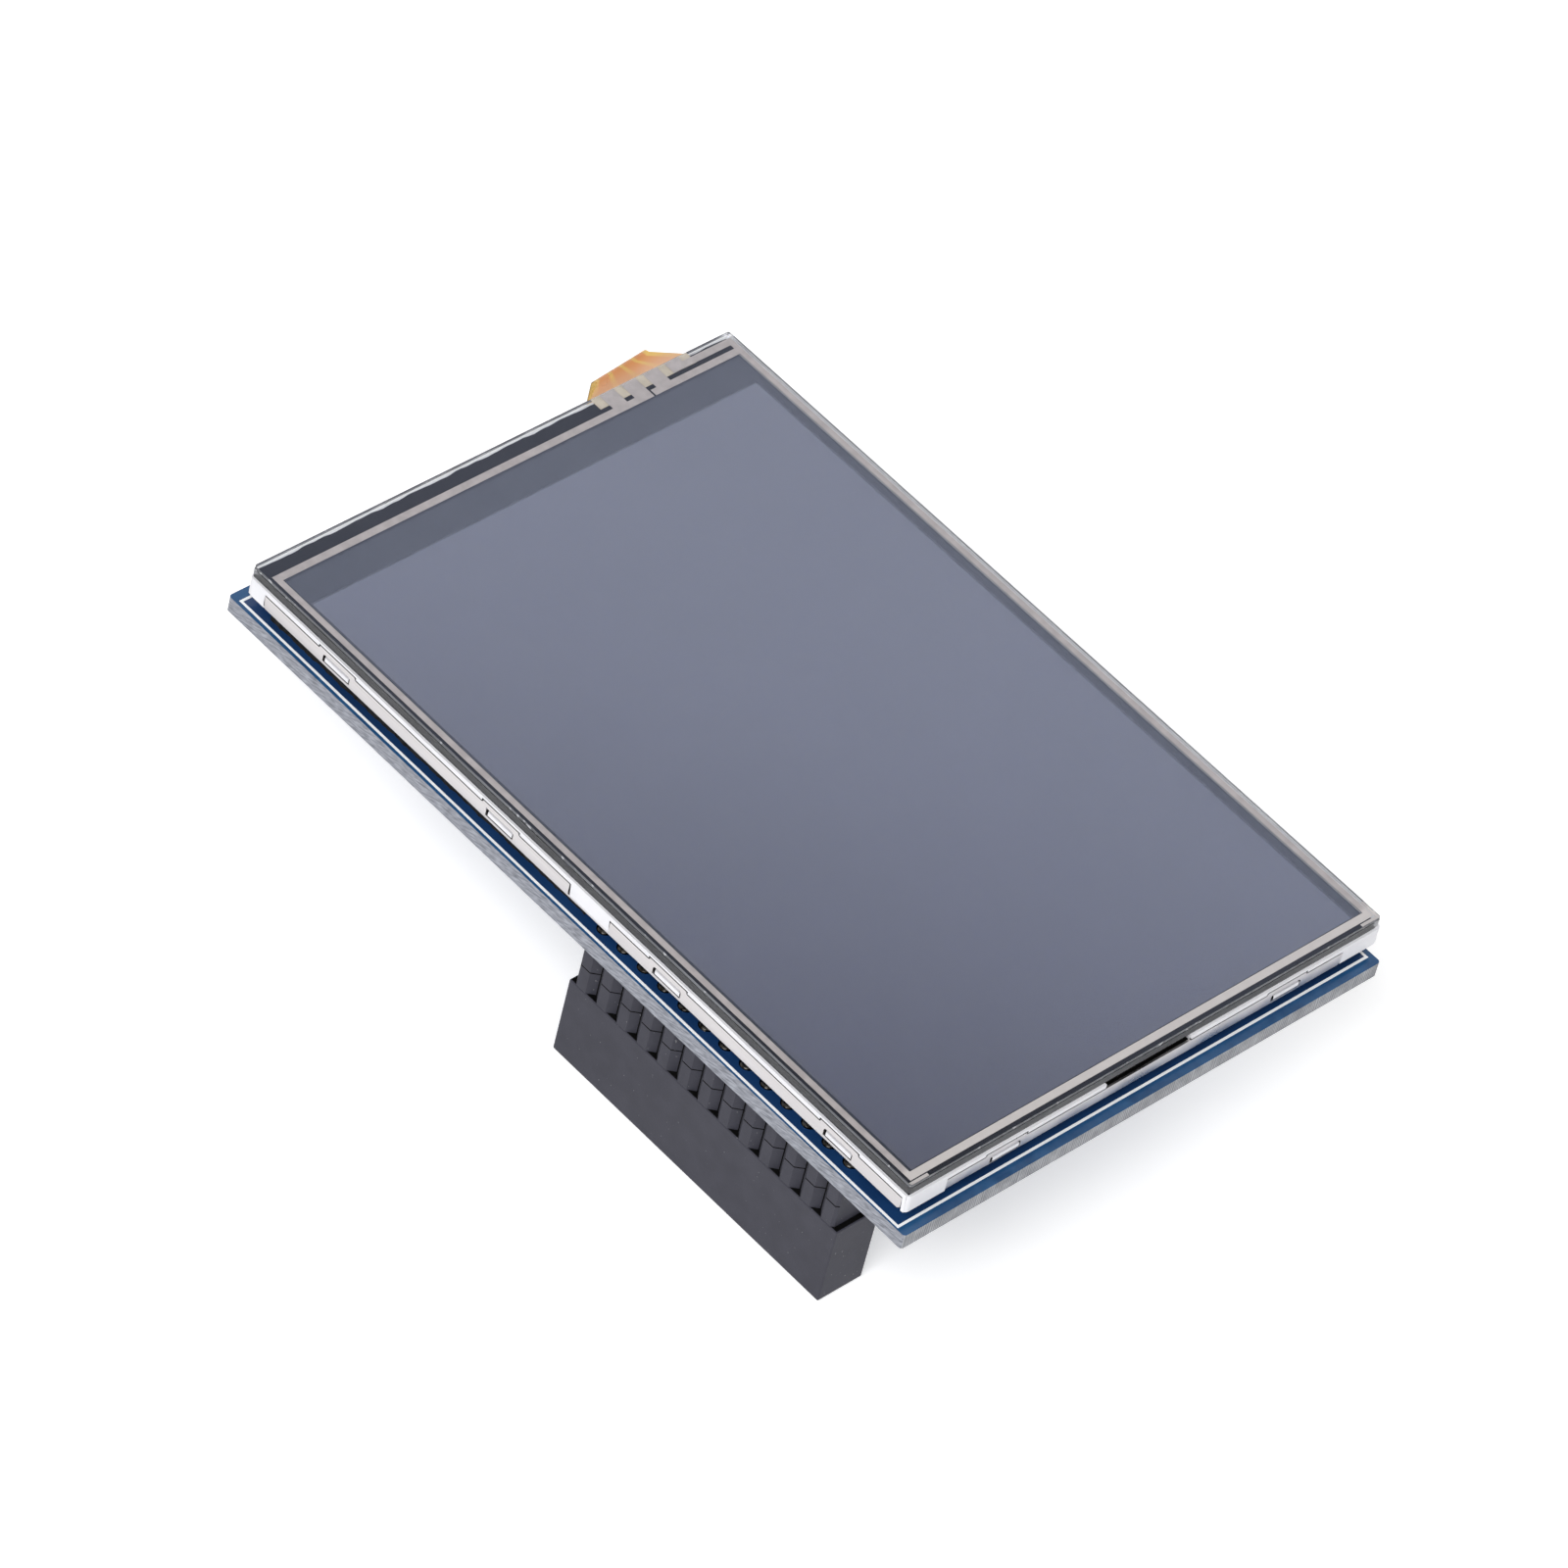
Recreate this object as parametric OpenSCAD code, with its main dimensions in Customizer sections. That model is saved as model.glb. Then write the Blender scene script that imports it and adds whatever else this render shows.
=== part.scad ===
// Plug-on touchscreen display: a colour screen module with a resistive touch panel,
// taped to a circuit board that plugs onto a double row of header pins.
// Origin: centre of the socket's mating face. +X runs along the board's long edge
// towards the end that carries the socket, +Y across the board away from the socket,
// +Z out of the screen.

/* [Circuit board] */
// Length of the board along X
board_len = 85.4; // [82:0.1:95]
// Width of the board along Y
board_wid = 55.6; // [50:0.1:65]
// Thickness of the board
board_t = 1.6; // [1:0.1:2.4]
// Corner radius of the board
board_r = 0.8; // [0.2:0.1:2]
// Centre of the socket to the board's near short edge
socket_from_end = 23.6; // [18:0.1:32]
// Centre of the socket to the board's long edge
socket_from_side = 3.05; // [2.8:0.05:5]
// Diameter of the plated holes for the socket's tails
plated_hole_d = 1.0; // [0.95:0.05:1.3]

/* [Pin socket] */
// Distance between neighbouring contacts, both ways
pin_pitch = 2.54; // [2.4:0.02:2.8]
// Number of contacts in each of the two rows
pin_columns = 13; // [8:1:15]
// Height of the socket block
socket_h = 8.5; // [7:0.1:11]
// Width of the socket block
socket_wid = 5.0; // [4.8:0.1:6]
// Plastic beyond the last contact's centre at each end of the block
socket_end = 1.41; // [1.2:0.01:3]
// Width of the square throat that a pin enters by
throat_w = 0.8; // [0.7:0.05:1]
// Width of the bevelled mouth of a contact hole
mouth_w = 1.5; // [1.2:0.05:1.8]
// Depth of the bevel
mouth_depth = 0.6; // [0.3:0.05:1]
// Depth at which the contact chamber starts
chamber_from = 1.2; // [1.1:0.05:2]
// Size of the contact chamber across the row
chamber_wid = 1.6; // [1.4:0.05:1.9]
// Size of the contact chamber along the row
chamber_len = 1.1; // [0.9:0.05:1.6]
// Thickness of a contact's spring leaf
leaf_t = 0.2; // [0.15:0.01:0.25]
// Height of the contact's base above the mating face
contact_base = 6.8; // [5:0.1:6.8]
// Width of the square tail
tail_w = 0.6; // [0.4:0.02:0.64]
// Length of tail that stands above the board
tail_proud = 0.45; // [0.2:0.05:0.5]

/* [Spacer strips] */
// Height of each of the two spacer strips
strip_h = 2.54; // [1.5:0.02:4]
// Width of a strip
strip_wid = 5.0; // [4.6:0.1:5.2]
// Flat width of a column's outer face
column_flat = 1.1; // [0.6:0.05:1.9]
// Plastic beyond the last contact's centre at each end of a strip
strip_end = 0.8; // [0.6:0.05:1.27]
// Room between a tail and its hole in the strips
tail_clear = 0.03; // [0.01:0.01:0.1]

/* [Solder joints] */
// Radius of a joint on the board
joint_r = 0.74; // [0.7:0.01:1.1]
// Height of a joint
joint_h = 0.68; // [0.65:0.01:0.9]
// Radius of the rounded tip of a joint
joint_tip_r = 0.47; // [0.47:0.01:0.6]

/* [Screen module] */
// Length of the screen module along X
lcd_len = 83.0; // [80:0.1:84]
// Width of the screen module along Y
lcd_wid = 55.2; // [52:0.1:58]
// Offset of the module from the board's centre along Y
lcd_off_y = 0.55; // [-1:0.05:1]
// Corner radius of the module
lcd_r = 0.5; // [0.2:0.1:0.6]
// Thickness of the foam tape under the module
foam_t = 1.15; // [1:0.05:2]
// Width of a strip of foam tape
foam_wid = 3.6; // [2:0.1:4]
// Setback of the foam tape from the module's long sides
foam_inset = 0.7; // [0.5:0.05:1.5]

/* [Back shield] */
// Thickness of the sheet steel
sheet_t = 0.2; // [0.15:0.01:0.3]
// Height of the walls over the shield's underside
wall_h = 1.45; // [1.35:0.05:1.5]
// Height that a latch tab rises over the wall
tab_rise = 0.25; // [0.1:0.05:0.3]
// Width of a latch tab
tab_wid = 4.8; // [4:0.1:6]
// Width of a latch window
window_wid = 3.2; // [2:0.1:3.6]
// Height of a latch window
window_h = 0.55; // [0.4:0.05:0.6]
// Underside of the shield to the bottom of a window
window_from = 0.4; // [0.35:0.05:0.5]
// Distance between the latches on a long side
latch_pitch = 21.05; // [18:0.05:22]
// Offset of the row of latches from the module's centre along X
latch_off_x = 1.7; // [0:0.1:2]
// Module's centre to each latch on a short side
latch_off_y = 16.35; // [14:0.05:18]
// Post of the frame left bare at the far end of a long side
post_far = 2.2; // [1:0.1:4]
// Post of the frame left bare at the near end of a long side
post_near = 0.6; // [0.5:0.1:1]
// Post of the frame left bare at each end of a short side
post_side = 4.55; // [3:0.05:6]
// Width of the break in each long wall
wall_gap = 4.85; // [3:0.05:7]
// Offset of that break from the module's centre along X
wall_gap_off = 2.5; // [1:0.1:4]

/* [Backlight frame] */
// Wall of the frame beside the glass
frame_wall = 0.75; // [0.6:0.05:0.9]
// Ledge that carries the glass
frame_ledge = 0.8; // [0.6:0.05:1.2]
// Height that the frame stands over the glass
frame_lip = 0.08; // [0.04:0.01:0.12]
// Width of the notch in the near end of the frame
near_notch = 10.0; // [6:0.1:16]
// Depth of that notch, and of the ribbon's, below the top of the shield's wall
notch_sink = 0.3; // [0.2:0.05:0.5]
// Room round a latch hook in its window
hook_clear = 0.08; // [0.04:0.01:0.12]
// Height that a hook stands out past the sheet
hook_proud = 0.06; // [0.02:0.01:0.15]

/* [Backlight] */
// Thickness of the reflector film
reflector_t = 0.08; // [0.06:0.01:0.15]
// Thickness of the light guide
guide_t = 0.5; // [0.5:0.05:0.9]
// Thickness of the diffuser film
diffuser_t = 0.1; // [0.06:0.01:0.15]
// Thickness of each prism film
prism_t = 0.08; // [0.05:0.01:0.12]
// Air gap over the top film
film_gap = 0.06; // [0.02:0.01:0.1]
// Room between the films and the frame
film_clear = 0.1; // [0.05:0.01:0.2]
// Length kept for the lamps at the far end
lamp_bay = 3.4; // [3:0.1:5]
// Thickness of the lamp strip
lamp_strip_t = 0.12; // [0.08:0.01:0.15]
// Number of lamps
lamp_count = 6; // [4:1:9]
// Length of a lamp
lamp_len = 3.8; // [3:0.1:4.5]
// Height of a lamp
lamp_h = 0.6; // [0.4:0.05:0.6]
// Depth of a lamp along X
lamp_depth = 1.0; // [0.6:0.1:1.4]

/* [Liquid crystal cell] */
// Thickness of each polarizer
polarizer_t = 0.12; // [0.1:0.01:0.15]
// Thickness of each glass
cell_glass_t = 0.3; // [0.3:0.05:0.7]
// Room between the glass and the frame
glass_clear = 0.1; // [0.05:0.01:0.2]
// Thickness of the black tape that the glass rests on
rim_t = 0.05; // [0.03:0.01:0.08]
// Width of the lower glass left bare for the driver chip
driver_ledge = 2.6; // [2.4:0.1:4]
// Front polarizer's setback from the colour filter glass at the sides
front_pol_inset = 0.95; // [0.3:0.05:2]
// Front polarizer's setback at the near end
front_pol_near = 0.3; // [0.2:0.05:2]
// Front polarizer's setback at the far end
front_pol_far = 2.2; // [0.5:0.05:4]
// Length of the driver chip across the module
driver_len = 16; // [10:0.5:20]
// Width of the driver chip
driver_wid = 0.8; // [0.6:0.05:0.9]
// Thickness of the driver chip
driver_t = 0.25; // [0.15:0.01:0.28]

/* [Screen ribbon] */
// Width of the screen's ribbon
ribbon_wid = 22; // [16:0.5:24]
// Room between the ribbon and the latch tab beside it
ribbon_clear = 0.5; // [0.3:0.05:1]
// Thickness of the ribbon
ribbon_t = 0.12; // [0.08:0.01:0.15]
// Room over the ribbon in the frame's slot
ribbon_over = 0.05; // [0.03:0.01:0.1]
// Outer radius of the ribbon's two bends
ribbon_bend_r = 0.9; // [0.5:0.05:1]
// Bond of the ribbon on the glass
ribbon_bond = 1.1; // [0.8:0.1:1.2]
// Setback from the module's far end at which the ribbon starts to turn under
ribbon_setback = 0.4; // [0.2:0.05:0.5]
// Length of ribbon that lies on the board under the module
ribbon_land = 16; // [8:0.5:30]

/* [Touch panel] */
// Setback of the touch panel from the module's sides and near end
panel_inset = 0.2; // [0.1:0.05:0.6]
// Setback of the touch panel from the module's far end
panel_far = 0.05; // [0:0.05:0.6]
// Corner radius of the touch panel
panel_r = 0.3; // [0.1:0.05:0.5]
// Thickness of the black gasket under the panel
gasket_t = 0.15; // [0.1:0.01:0.3]
// Setback of the gasket from the panel's edge
gasket_inset = 0.1; // [0.1:0.05:0.3]
// Setback of the gasket from the panel's far edge
gasket_far = 0.1; // [0.05:0.05:0.8]
// Room between the gasket and the front polarizer
gasket_clear = 0.1; // [0.05:0.01:0.2]
// Thickness of the panel's glass
panel_glass_t = 0.7; // [0.5:0.05:1.1]
// Thickness of the adhesive spacer between glass and film
spacer_t = 0.14; // [0.12:0.01:0.2]
// Thickness of the flexible film
film_t = 0.18; // [0.1:0.01:0.25]
// Setback of the film from the glass
film_inset = 0.05; // [0.02:0.01:0.15]
// Thickness of the printed silver conductors
trace_t = 0.04; // [0.02:0.01:0.06]
// Width of the conductor ring at the two ends
trace_wid = 0.75; // [0.5:0.05:1]
// Width of the conductor ring along the long sides
trace_side_wid = 0.6; // [0.4:0.05:1]
// Ring's setback from the panel's long edges
trace_side = 0.45; // [0.4:0.05:1]
// Ring's setback from the panel's near edge
trace_near = 0.55; // [0.5:0.05:1]
// Ring's setback from the panel's far edge
trace_far = 1.9; // [1.4:0.05:2.5]
// Width of the slot between the ring and what is printed beyond it at the far end
slot_wid = 0.5; // [0.3:0.02:0.6]
// Width of the lead from the tail to the ring's far corner
far_lead_wid = 0.75; // [0.4:0.05:0.75]
// Width of the leads at the near corners
lead_wid = 0.3; // [0.15:0.05:0.35]
// Length of those leads along each edge
lead_len = 2.1; // [1:0.1:5]
// Width of the break in the ring between the pads
ring_break = 0.2; // [0.1:0.05:0.5]
// Room between the spacer and what is printed or laid in it
spacer_clear = 0.04; // [0.02:0.01:0.1]

/* [Touch tail] */
// Width of the tail where it is bonded in the panel
tail_root_wid = 11.3; // [10:0.1:14]
// Width of the tail where it turns down
tail_wid = 6.6; // [5:0.1:9]
// Offset of the tail from the module's centre along Y
tail_off_y = 16.65; // [15:0.05:18]
// Thickness of the tail
tail_t = 0.07; // [0.05:0.01:0.07]
// Shift of the part that turns down from the middle of the root
tail_shift = -0.3; // [-1:0.1:1]
// Reach of the tail past the panel before it turns down
tail_reach = 1.65; // [0.8:0.05:2]
// Outer radius of the tail's two bends
tail_bend_r = 0.7; // [0.3:0.05:1.2]
// Length of tail that runs back over the board
tail_land = 3.5; // [2:0.1:6]
// Distance between the four printed pads over the root
pad_pitch = 2.55; // [2:0.05:2.6]
// Width of a pad
pad_wid = 1.65; // [1:0.05:1.8]
// Setback of a copper finger from the sides of its pad
finger_inset = 0.1; // [0.05:0.01:0.2]

/* [Parts under the board] */
// Distance between the two columns of logic chips
chip_step_x = 18; // [14:0.5:20]
// Distance between the two rows of logic chips
chip_step_y = 15; // [11:0.5:18]
// Centre of the logic chips from the board's centre along X
chips_off_x = 4; // [-4:0.5:6]
// Centre of the logic chips from the board's centre along Y
chips_off_y = 4; // [0:0.5:8]
// Length of a logic chip with sixteen leads
logic_len = 9.9; // [9.9:0.1:11]
// Width of a logic chip's body
logic_wid = 3.9; // [3.5:0.1:5]
// Thickness of a logic chip's body
logic_t = 1.4; // [1:0.1:2]
// Distance between the leads of a logic chip
logic_pitch = 1.27; // [1:0.01:1.27]
// Touch controller's distance from the board's centre along X
controller_x = 24; // [20:0.5:32]
// Length of the touch controller's body
controller_len = 5.0; // [5:0.1:6]
// Width of the touch controller's body
controller_wid = 4.4; // [4:0.1:5]
// Thickness of the touch controller's body
controller_t = 0.95; // [0.8:0.05:1.2]
// Distance between the leads of the touch controller
controller_pitch = 0.65; // [0.5:0.01:0.65]
// Gap between a chip's body and the board
chip_stand = 0.12; // [0.05:0.01:0.2]
// Reach of the leads past each side of a chip
lead_reach = 1.05; // [0.9:0.05:1.4]
// Thickness of the chips' leads
chip_lead_t = 0.18; // [0.1:0.01:0.2]
// Length of a resistor or capacitor
chip_part_len = 1.6; // [1.4:0.1:2]
// Width of a resistor or capacitor
chip_part_wid = 0.8; // [0.6:0.05:1.2]
// Thickness of a capacitor
capacitor_t = 0.8; // [0.6:0.05:1.2]
// Thickness of a resistor
resistor_t = 0.45; // [0.3:0.05:0.6]
// Length of each metal end of a resistor or capacitor
end_cap_len = 0.3; // [0.2:0.05:0.4]
// Distance between neighbouring resistors
chip_part_step = 2.2; // [1.6:0.1:2.6]
// Number of resistors in each of the two rows
resistor_count = 6; // [3:1:6]

/* [Hidden] */

// Segments on a round outline
round_fn = 48;
// Overshoot of a cut past the face that it opens
over = 0.5;

// Heights from the mating face up to the board
strip_z = socket_h;
under_z = strip_z + 2 * strip_h;
board_z = under_z + board_t;

// Heights through the screen module
shield_z = board_z + foam_t;
tray_z = shield_z + sheet_t;
guide_z = tray_z + reflector_t;
diffuser_z = guide_z + guide_t;
prism_z = diffuser_z + diffuser_t;
films_top_z = prism_z + 2 * prism_t;
rear_pol_z = films_top_z + film_gap;
tft_z = rear_pol_z + polarizer_t;
filter_z = tft_z + cell_glass_t;
front_pol_z = filter_z + cell_glass_t;
frame_top_z = front_pol_z + frame_lip;
ledge_z = tft_z - rim_t;
wall_top_z = shield_z + wall_h;

// Heights through the touch panel
panel_z = frame_top_z + gasket_t;
spacer_z = panel_z + panel_glass_t;
film_z = spacer_z + spacer_t;

// Centres of the board and of the screen module in the socket's frame
board_x = socket_from_end - board_len / 2;
board_y = board_wid / 2 - socket_from_side;
lcd_y = board_y + lcd_off_y;

// Socket and strips
socket_len = (pin_columns - 1) * pin_pitch + 2 * socket_end;
strip_len = (pin_columns - 1) * pin_pitch + 2 * strip_end;
column_bevel = (pin_pitch - column_flat) / 2;

// Screen module, measured from its own centre
half_len = lcd_len / 2;
half_wid = lcd_wid / 2;
glass_side = half_wid - sheet_t - frame_wall - glass_clear;
glass_end = half_len - sheet_t - frame_wall - glass_clear;
pocket_side = glass_side + glass_clear;
pocket_end = glass_end + glass_clear;
opening_side = pocket_side - frame_ledge;
opening_end = pocket_end - frame_ledge;
films_side = opening_side - film_clear;
films_end = opening_end - film_clear;
films_far = -opening_end + lamp_bay;
filter_far = -glass_end + driver_ledge;
front_pol_far_x = filter_far + front_pol_far;
front_pol_near_x = glass_end - front_pol_near;
front_pol_side = glass_side - front_pol_inset;
latch_xs = [for (i = [-1.5:1:1.5]) latch_off_x + i * latch_pitch];

// Touch panel, measured from the module's centre
panel_end = half_len - panel_inset;
panel_far_x = -half_len + panel_far;
panel_side = half_wid - panel_inset;
ring_far = panel_far_x + trace_far;
ring_near = panel_end - trace_near;
ring_side = panel_side - trace_side;
tail_turn_x = panel_far_x - tail_reach;
tail_root_x = ring_far - slot_wid;
ribbon_turn_x = -half_len + ribbon_setback;
ribbon_y = -latch_off_y + tab_wid / 2 + ribbon_clear + ribbon_wid / 2;
far_lead_x = ring_far - slot_wid - far_lead_wid;
pad_ys = [for (i = [-1.5:1:1.5]) tail_off_y + i * pad_pitch];
lead_side_y = panel_side - trace_side / 2 + lead_wid / 2;
lead_near_x = panel_end - trace_near / 2 + lead_wid / 2;

// Widths of the leads on the three kinds of chip package
logic_lead_w = 0.42;
controller_lead_w = 0.24;
transistor_lead_w = 0.42;
// Body of the lamp transistor and the spacing of its leads
transistor_len = 2.9;
transistor_wid = 1.3;
transistor_t = 1.0;
transistor_pitch = 0.95;
// Resting length of a lead's foot on the board
foot_len = 0.5;
// Radius and depth of the dimple that marks a chip's first lead
dimple_r = 0.35;
dimple_depth = 0.08;

// Centres of the logic chips, from the board's centre
chip_left_x = chips_off_x - chip_step_x / 2;
chip_right_x = chips_off_x + chip_step_x / 2;
chip_low_y = chips_off_y - chip_step_y / 2;
chip_high_y = chips_off_y + chip_step_y / 2;
transistor_x = -controller_x;
transistor_y = chip_low_y;
// Centres of the capacitors: one beside each logic chip, two beside the controller
capacitor_gap = logic_len / 2 + 1.4;
capacitor_xys = [
    [chip_left_x - capacitor_gap, chip_low_y], [chip_right_x + capacitor_gap, chip_low_y],
    [chip_left_x - capacitor_gap, chip_high_y], [chip_right_x + capacitor_gap, chip_high_y],
    [-controller_x, chip_high_y + controller_len], [-controller_x, chip_high_y - controller_len],
    [transistor_x, transistor_y - transistor_len]
];
// Two rows of resistors: between the rows of chips, and beyond the far row
resistor_xys = [
    for (row_y = [chips_off_y, chip_high_y + logic_wid + 3], i = [0:resistor_count - 1])
        [chips_off_x + (i - (resistor_count - 1) / 2) * chip_part_step, row_y]
];

// Rectangle between two corners
module rect(low, high) {
    translate(low)
        square(high - low);
}

// Rectangle with rounded corners, centred
module rounded_rect(len, wid, r) {
    square([len - 2 * r, wid], center = true);
    square([len, wid - 2 * r], center = true);
    for (sx = [-1, 1], sy = [-1, 1])
        translate([sx * (len / 2 - r), sy * (wid / 2 - r)])
            circle(r = r, $fn = round_fn);
}

// Plate of a flat outline
module plate(z, t) {
    translate([0, 0, z])
        linear_extrude(t)
            children();
}

// Box between two corners
module block(low, high) {
    translate(low)
        cube(high - low);
}

module at_board() {
    translate([board_x, board_y, 0])
        children();
}

module at_lcd() {
    translate([board_x, lcd_y, 0])
        children();
}

// A child at each of the socket's contacts
module at_pins() {
    for (i = [0:pin_columns - 1], row = [-0.5, 0.5])
        translate([(i - (pin_columns - 1) / 2) * pin_pitch, row * pin_pitch, 0])
            children();
}

// A child under the board, turned so that its own +Z points away from the board
module under_board(x, y, turn = 0) {
    translate([board_x + x, board_y + y, under_z])
        rotate([180, 0, turn])
            children();
}

module circuit_board() {
    color([0.12, 0.32, 0.6])
        difference() {
            at_board()
                plate(under_z, board_t)
                    rounded_rect(board_len, board_wid, board_r);
            at_pins()
                translate([0, 0, under_z - over])
                    cylinder(d = plated_hole_d, h = board_t + 2 * over, $fn = round_fn);
        }
}

// Hollow of one contact hole: bevelled mouth, throat and chamber
module contact_hole() {
    mouth_slope = (mouth_w - throat_w) / mouth_depth;
    translate([0, 0, -over])
        rotate(45)
            cylinder(
                d1 = (mouth_w + over * mouth_slope) * sqrt(2), d2 = throat_w * sqrt(2),
                h = mouth_depth + over, $fn = 4
            );
    plate(0, socket_h)
        square(throat_w, center = true);
    plate(chamber_from, socket_h - chamber_from + over)
        square([chamber_len, chamber_wid], center = true);
}

module socket_body() {
    color([0.13, 0.13, 0.14])
        difference() {
            plate(0, socket_h)
                square([socket_len, socket_wid], center = true);
            at_pins()
                contact_hole();
        }
}

module socket_contacts() {
    leaf_y = chamber_wid / 2;
    color([0.85, 0.7, 0.35])
        at_pins() {
            for (side = [0, 1])
                mirror([0, side, 0])
                    block(
                        [-chamber_len / 2, leaf_y - leaf_t, chamber_from],
                        [chamber_len / 2, leaf_y, contact_base]
                    );
            plate(contact_base, leaf_t)
                square([chamber_len, chamber_wid], center = true);
            plate(contact_base + leaf_t, board_z + tail_proud - contact_base - leaf_t)
                square(tail_w, center = true);
        }
}

// Outline of one column of a spacer strip, bevelled where it meets its neighbours
module column_outline() {
    edge_x = pin_pitch / 2;
    edge_y = strip_wid / 2 - column_bevel;
    flat_x = column_flat / 2;
    flat_y = strip_wid / 2;
    polygon([
        [-edge_x, -edge_y], [-flat_x, -flat_y], [flat_x, -flat_y], [edge_x, -edge_y],
        [edge_x, edge_y], [flat_x, flat_y], [-flat_x, flat_y], [-edge_x, edge_y]
    ]);
}

module spacer_strip(z) {
    plate(z, strip_h)
        difference() {
            intersection() {
                union()
                    for (i = [0:pin_columns - 1])
                        translate([(i - (pin_columns - 1) / 2) * pin_pitch, 0])
                            column_outline();
                square([strip_len, strip_wid], center = true);
            }
            at_pins()
                square(tail_w + 2 * tail_clear, center = true);
        }
}

module spacer_strip_lower() {
    color([0.15, 0.15, 0.16])
        spacer_strip(strip_z);
}

module spacer_strip_upper() {
    color([0.15, 0.15, 0.16])
        spacer_strip(strip_z + strip_h);
}

// Half section of a solder joint: a hollow cone that ends in a round tip
module joint_section() {
    steps = 6;
    waist = joint_h - joint_tip_r / 2;
    polygon(concat(
        [[0, 0], [joint_r, 0]],
        [
            for (i = [1:steps])
                let (a = 90 * i / steps)
                    [joint_r - (joint_r - joint_tip_r) * sin(a), waist * (1 - cos(a))]
        ],
        [
            for (i = [1:steps])
                let (a = 90 * i / steps)
                    [joint_tip_r * cos(a), waist + (joint_h - waist) * sin(a)]
        ]
    ));
}

module solder_joints() {
    color([0.7, 0.71, 0.73])
        at_pins()
            difference() {
                translate([0, 0, board_z])
                    rotate_extrude($fn = round_fn)
                        joint_section();
                plate(board_z - over, tail_proud + over)
                    square(tail_w, center = true);
            }
}

// Moulded chip body, resting chip_stand off the board
module chip_body(len, wid, t) {
    difference() {
        plate(chip_stand, t)
            square([len, wid], center = true);
        translate([-len / 2 + 3 * dimple_r, -wid / 2 + 3 * dimple_r, chip_stand + t - dimple_depth])
            cylinder(r = dimple_r, h = dimple_depth + over, $fn = round_fn);
    }
}

// One bent lead that leaves a chip's side and lands flat on the board
module bent_lead(wid, t, lead_w) {
    out_y = wid / 2;
    mid_z = chip_stand + t / 2;
    knee_y = out_y + lead_reach - foot_len;
    block([-lead_w / 2, out_y, mid_z], [lead_w / 2, knee_y, mid_z + chip_lead_t]);
    block([-lead_w / 2, knee_y - chip_lead_t, 0], [lead_w / 2, knee_y, mid_z + chip_lead_t]);
    block([-lead_w / 2, knee_y - chip_lead_t, 0], [lead_w / 2, out_y + lead_reach, chip_lead_t]);
}

// Leads along both sides of a chip
module lead_rows(per_side, pitch, wid, t, lead_w) {
    for (side = [0, 180], i = [0:per_side - 1])
        rotate(side)
            translate([(i - (per_side - 1) / 2) * pitch, 0, 0])
                bent_lead(wid, t, lead_w);
}

module touch_controller() {
    color([0.1, 0.1, 0.11])
        under_board(-controller_x, chip_high_y, 90)
            chip_body(controller_len, controller_wid, controller_t);
}

module logic_chip(x, y, len) {
    color([0.1, 0.1, 0.11])
        under_board(x, y)
            chip_body(len, logic_wid, logic_t);
}

module shift_register_a() {
    logic_chip(chip_left_x, chip_high_y, logic_len);
}

module shift_register_b() {
    logic_chip(chip_right_x, chip_high_y, logic_len);
}

module bit_counter() {
    logic_chip(chip_left_x, chip_low_y, logic_len);
}

module hex_inverter() {
    logic_chip(chip_right_x, chip_low_y, logic_len - logic_pitch);
}

module lamp_transistor() {
    color([0.1, 0.1, 0.11])
        under_board(transistor_x, transistor_y)
            plate(chip_stand, transistor_t)
                square([transistor_len, transistor_wid], center = true);
}

module chip_leads() {
    color([0.78, 0.78, 0.8]) {
        for (xy = [[chip_left_x, chip_high_y], [chip_right_x, chip_high_y], [chip_left_x, chip_low_y]])
            under_board(xy[0], xy[1])
                lead_rows(8, logic_pitch, logic_wid, logic_t, logic_lead_w);
        under_board(chip_right_x, chip_low_y)
            lead_rows(7, logic_pitch, logic_wid, logic_t, logic_lead_w);
        under_board(-controller_x, chip_high_y, 90)
            lead_rows(8, controller_pitch, controller_wid, controller_t, controller_lead_w);
        under_board(transistor_x, transistor_y) {
            for (sx = [-1, 1])
                translate([sx * transistor_pitch, 0, 0])
                    bent_lead(transistor_wid, transistor_t, transistor_lead_w);
            rotate(180)
                bent_lead(transistor_wid, transistor_t, transistor_lead_w);
        }
    }
}

// Ceramic middle of a resistor or capacitor
module chip_part(t) {
    plate(0, t)
        square([chip_part_len - 2 * end_cap_len, chip_part_wid], center = true);
}

// Metal ends of a resistor or capacitor
module chip_part_ends(t) {
    for (side = [0, 180])
        rotate(side)
            block(
                [chip_part_len / 2 - end_cap_len, -chip_part_wid / 2, 0],
                [chip_part_len / 2, chip_part_wid / 2, t]
            );
}

module chip_capacitors() {
    color([0.62, 0.48, 0.34])
        for (xy = capacitor_xys)
            under_board(xy[0], xy[1], 90)
                chip_part(capacitor_t);
}

module chip_resistors() {
    color([0.08, 0.08, 0.09])
        for (xy = resistor_xys)
            under_board(xy[0], xy[1], 90)
                chip_part(resistor_t);
}

module chip_end_caps() {
    color([0.8, 0.8, 0.8]) {
        for (xy = capacitor_xys)
            under_board(xy[0], xy[1], 90)
                chip_part_ends(capacitor_t);
        for (xy = resistor_xys)
            under_board(xy[0], xy[1], 90)
                chip_part_ends(resistor_t);
    }
}

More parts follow.
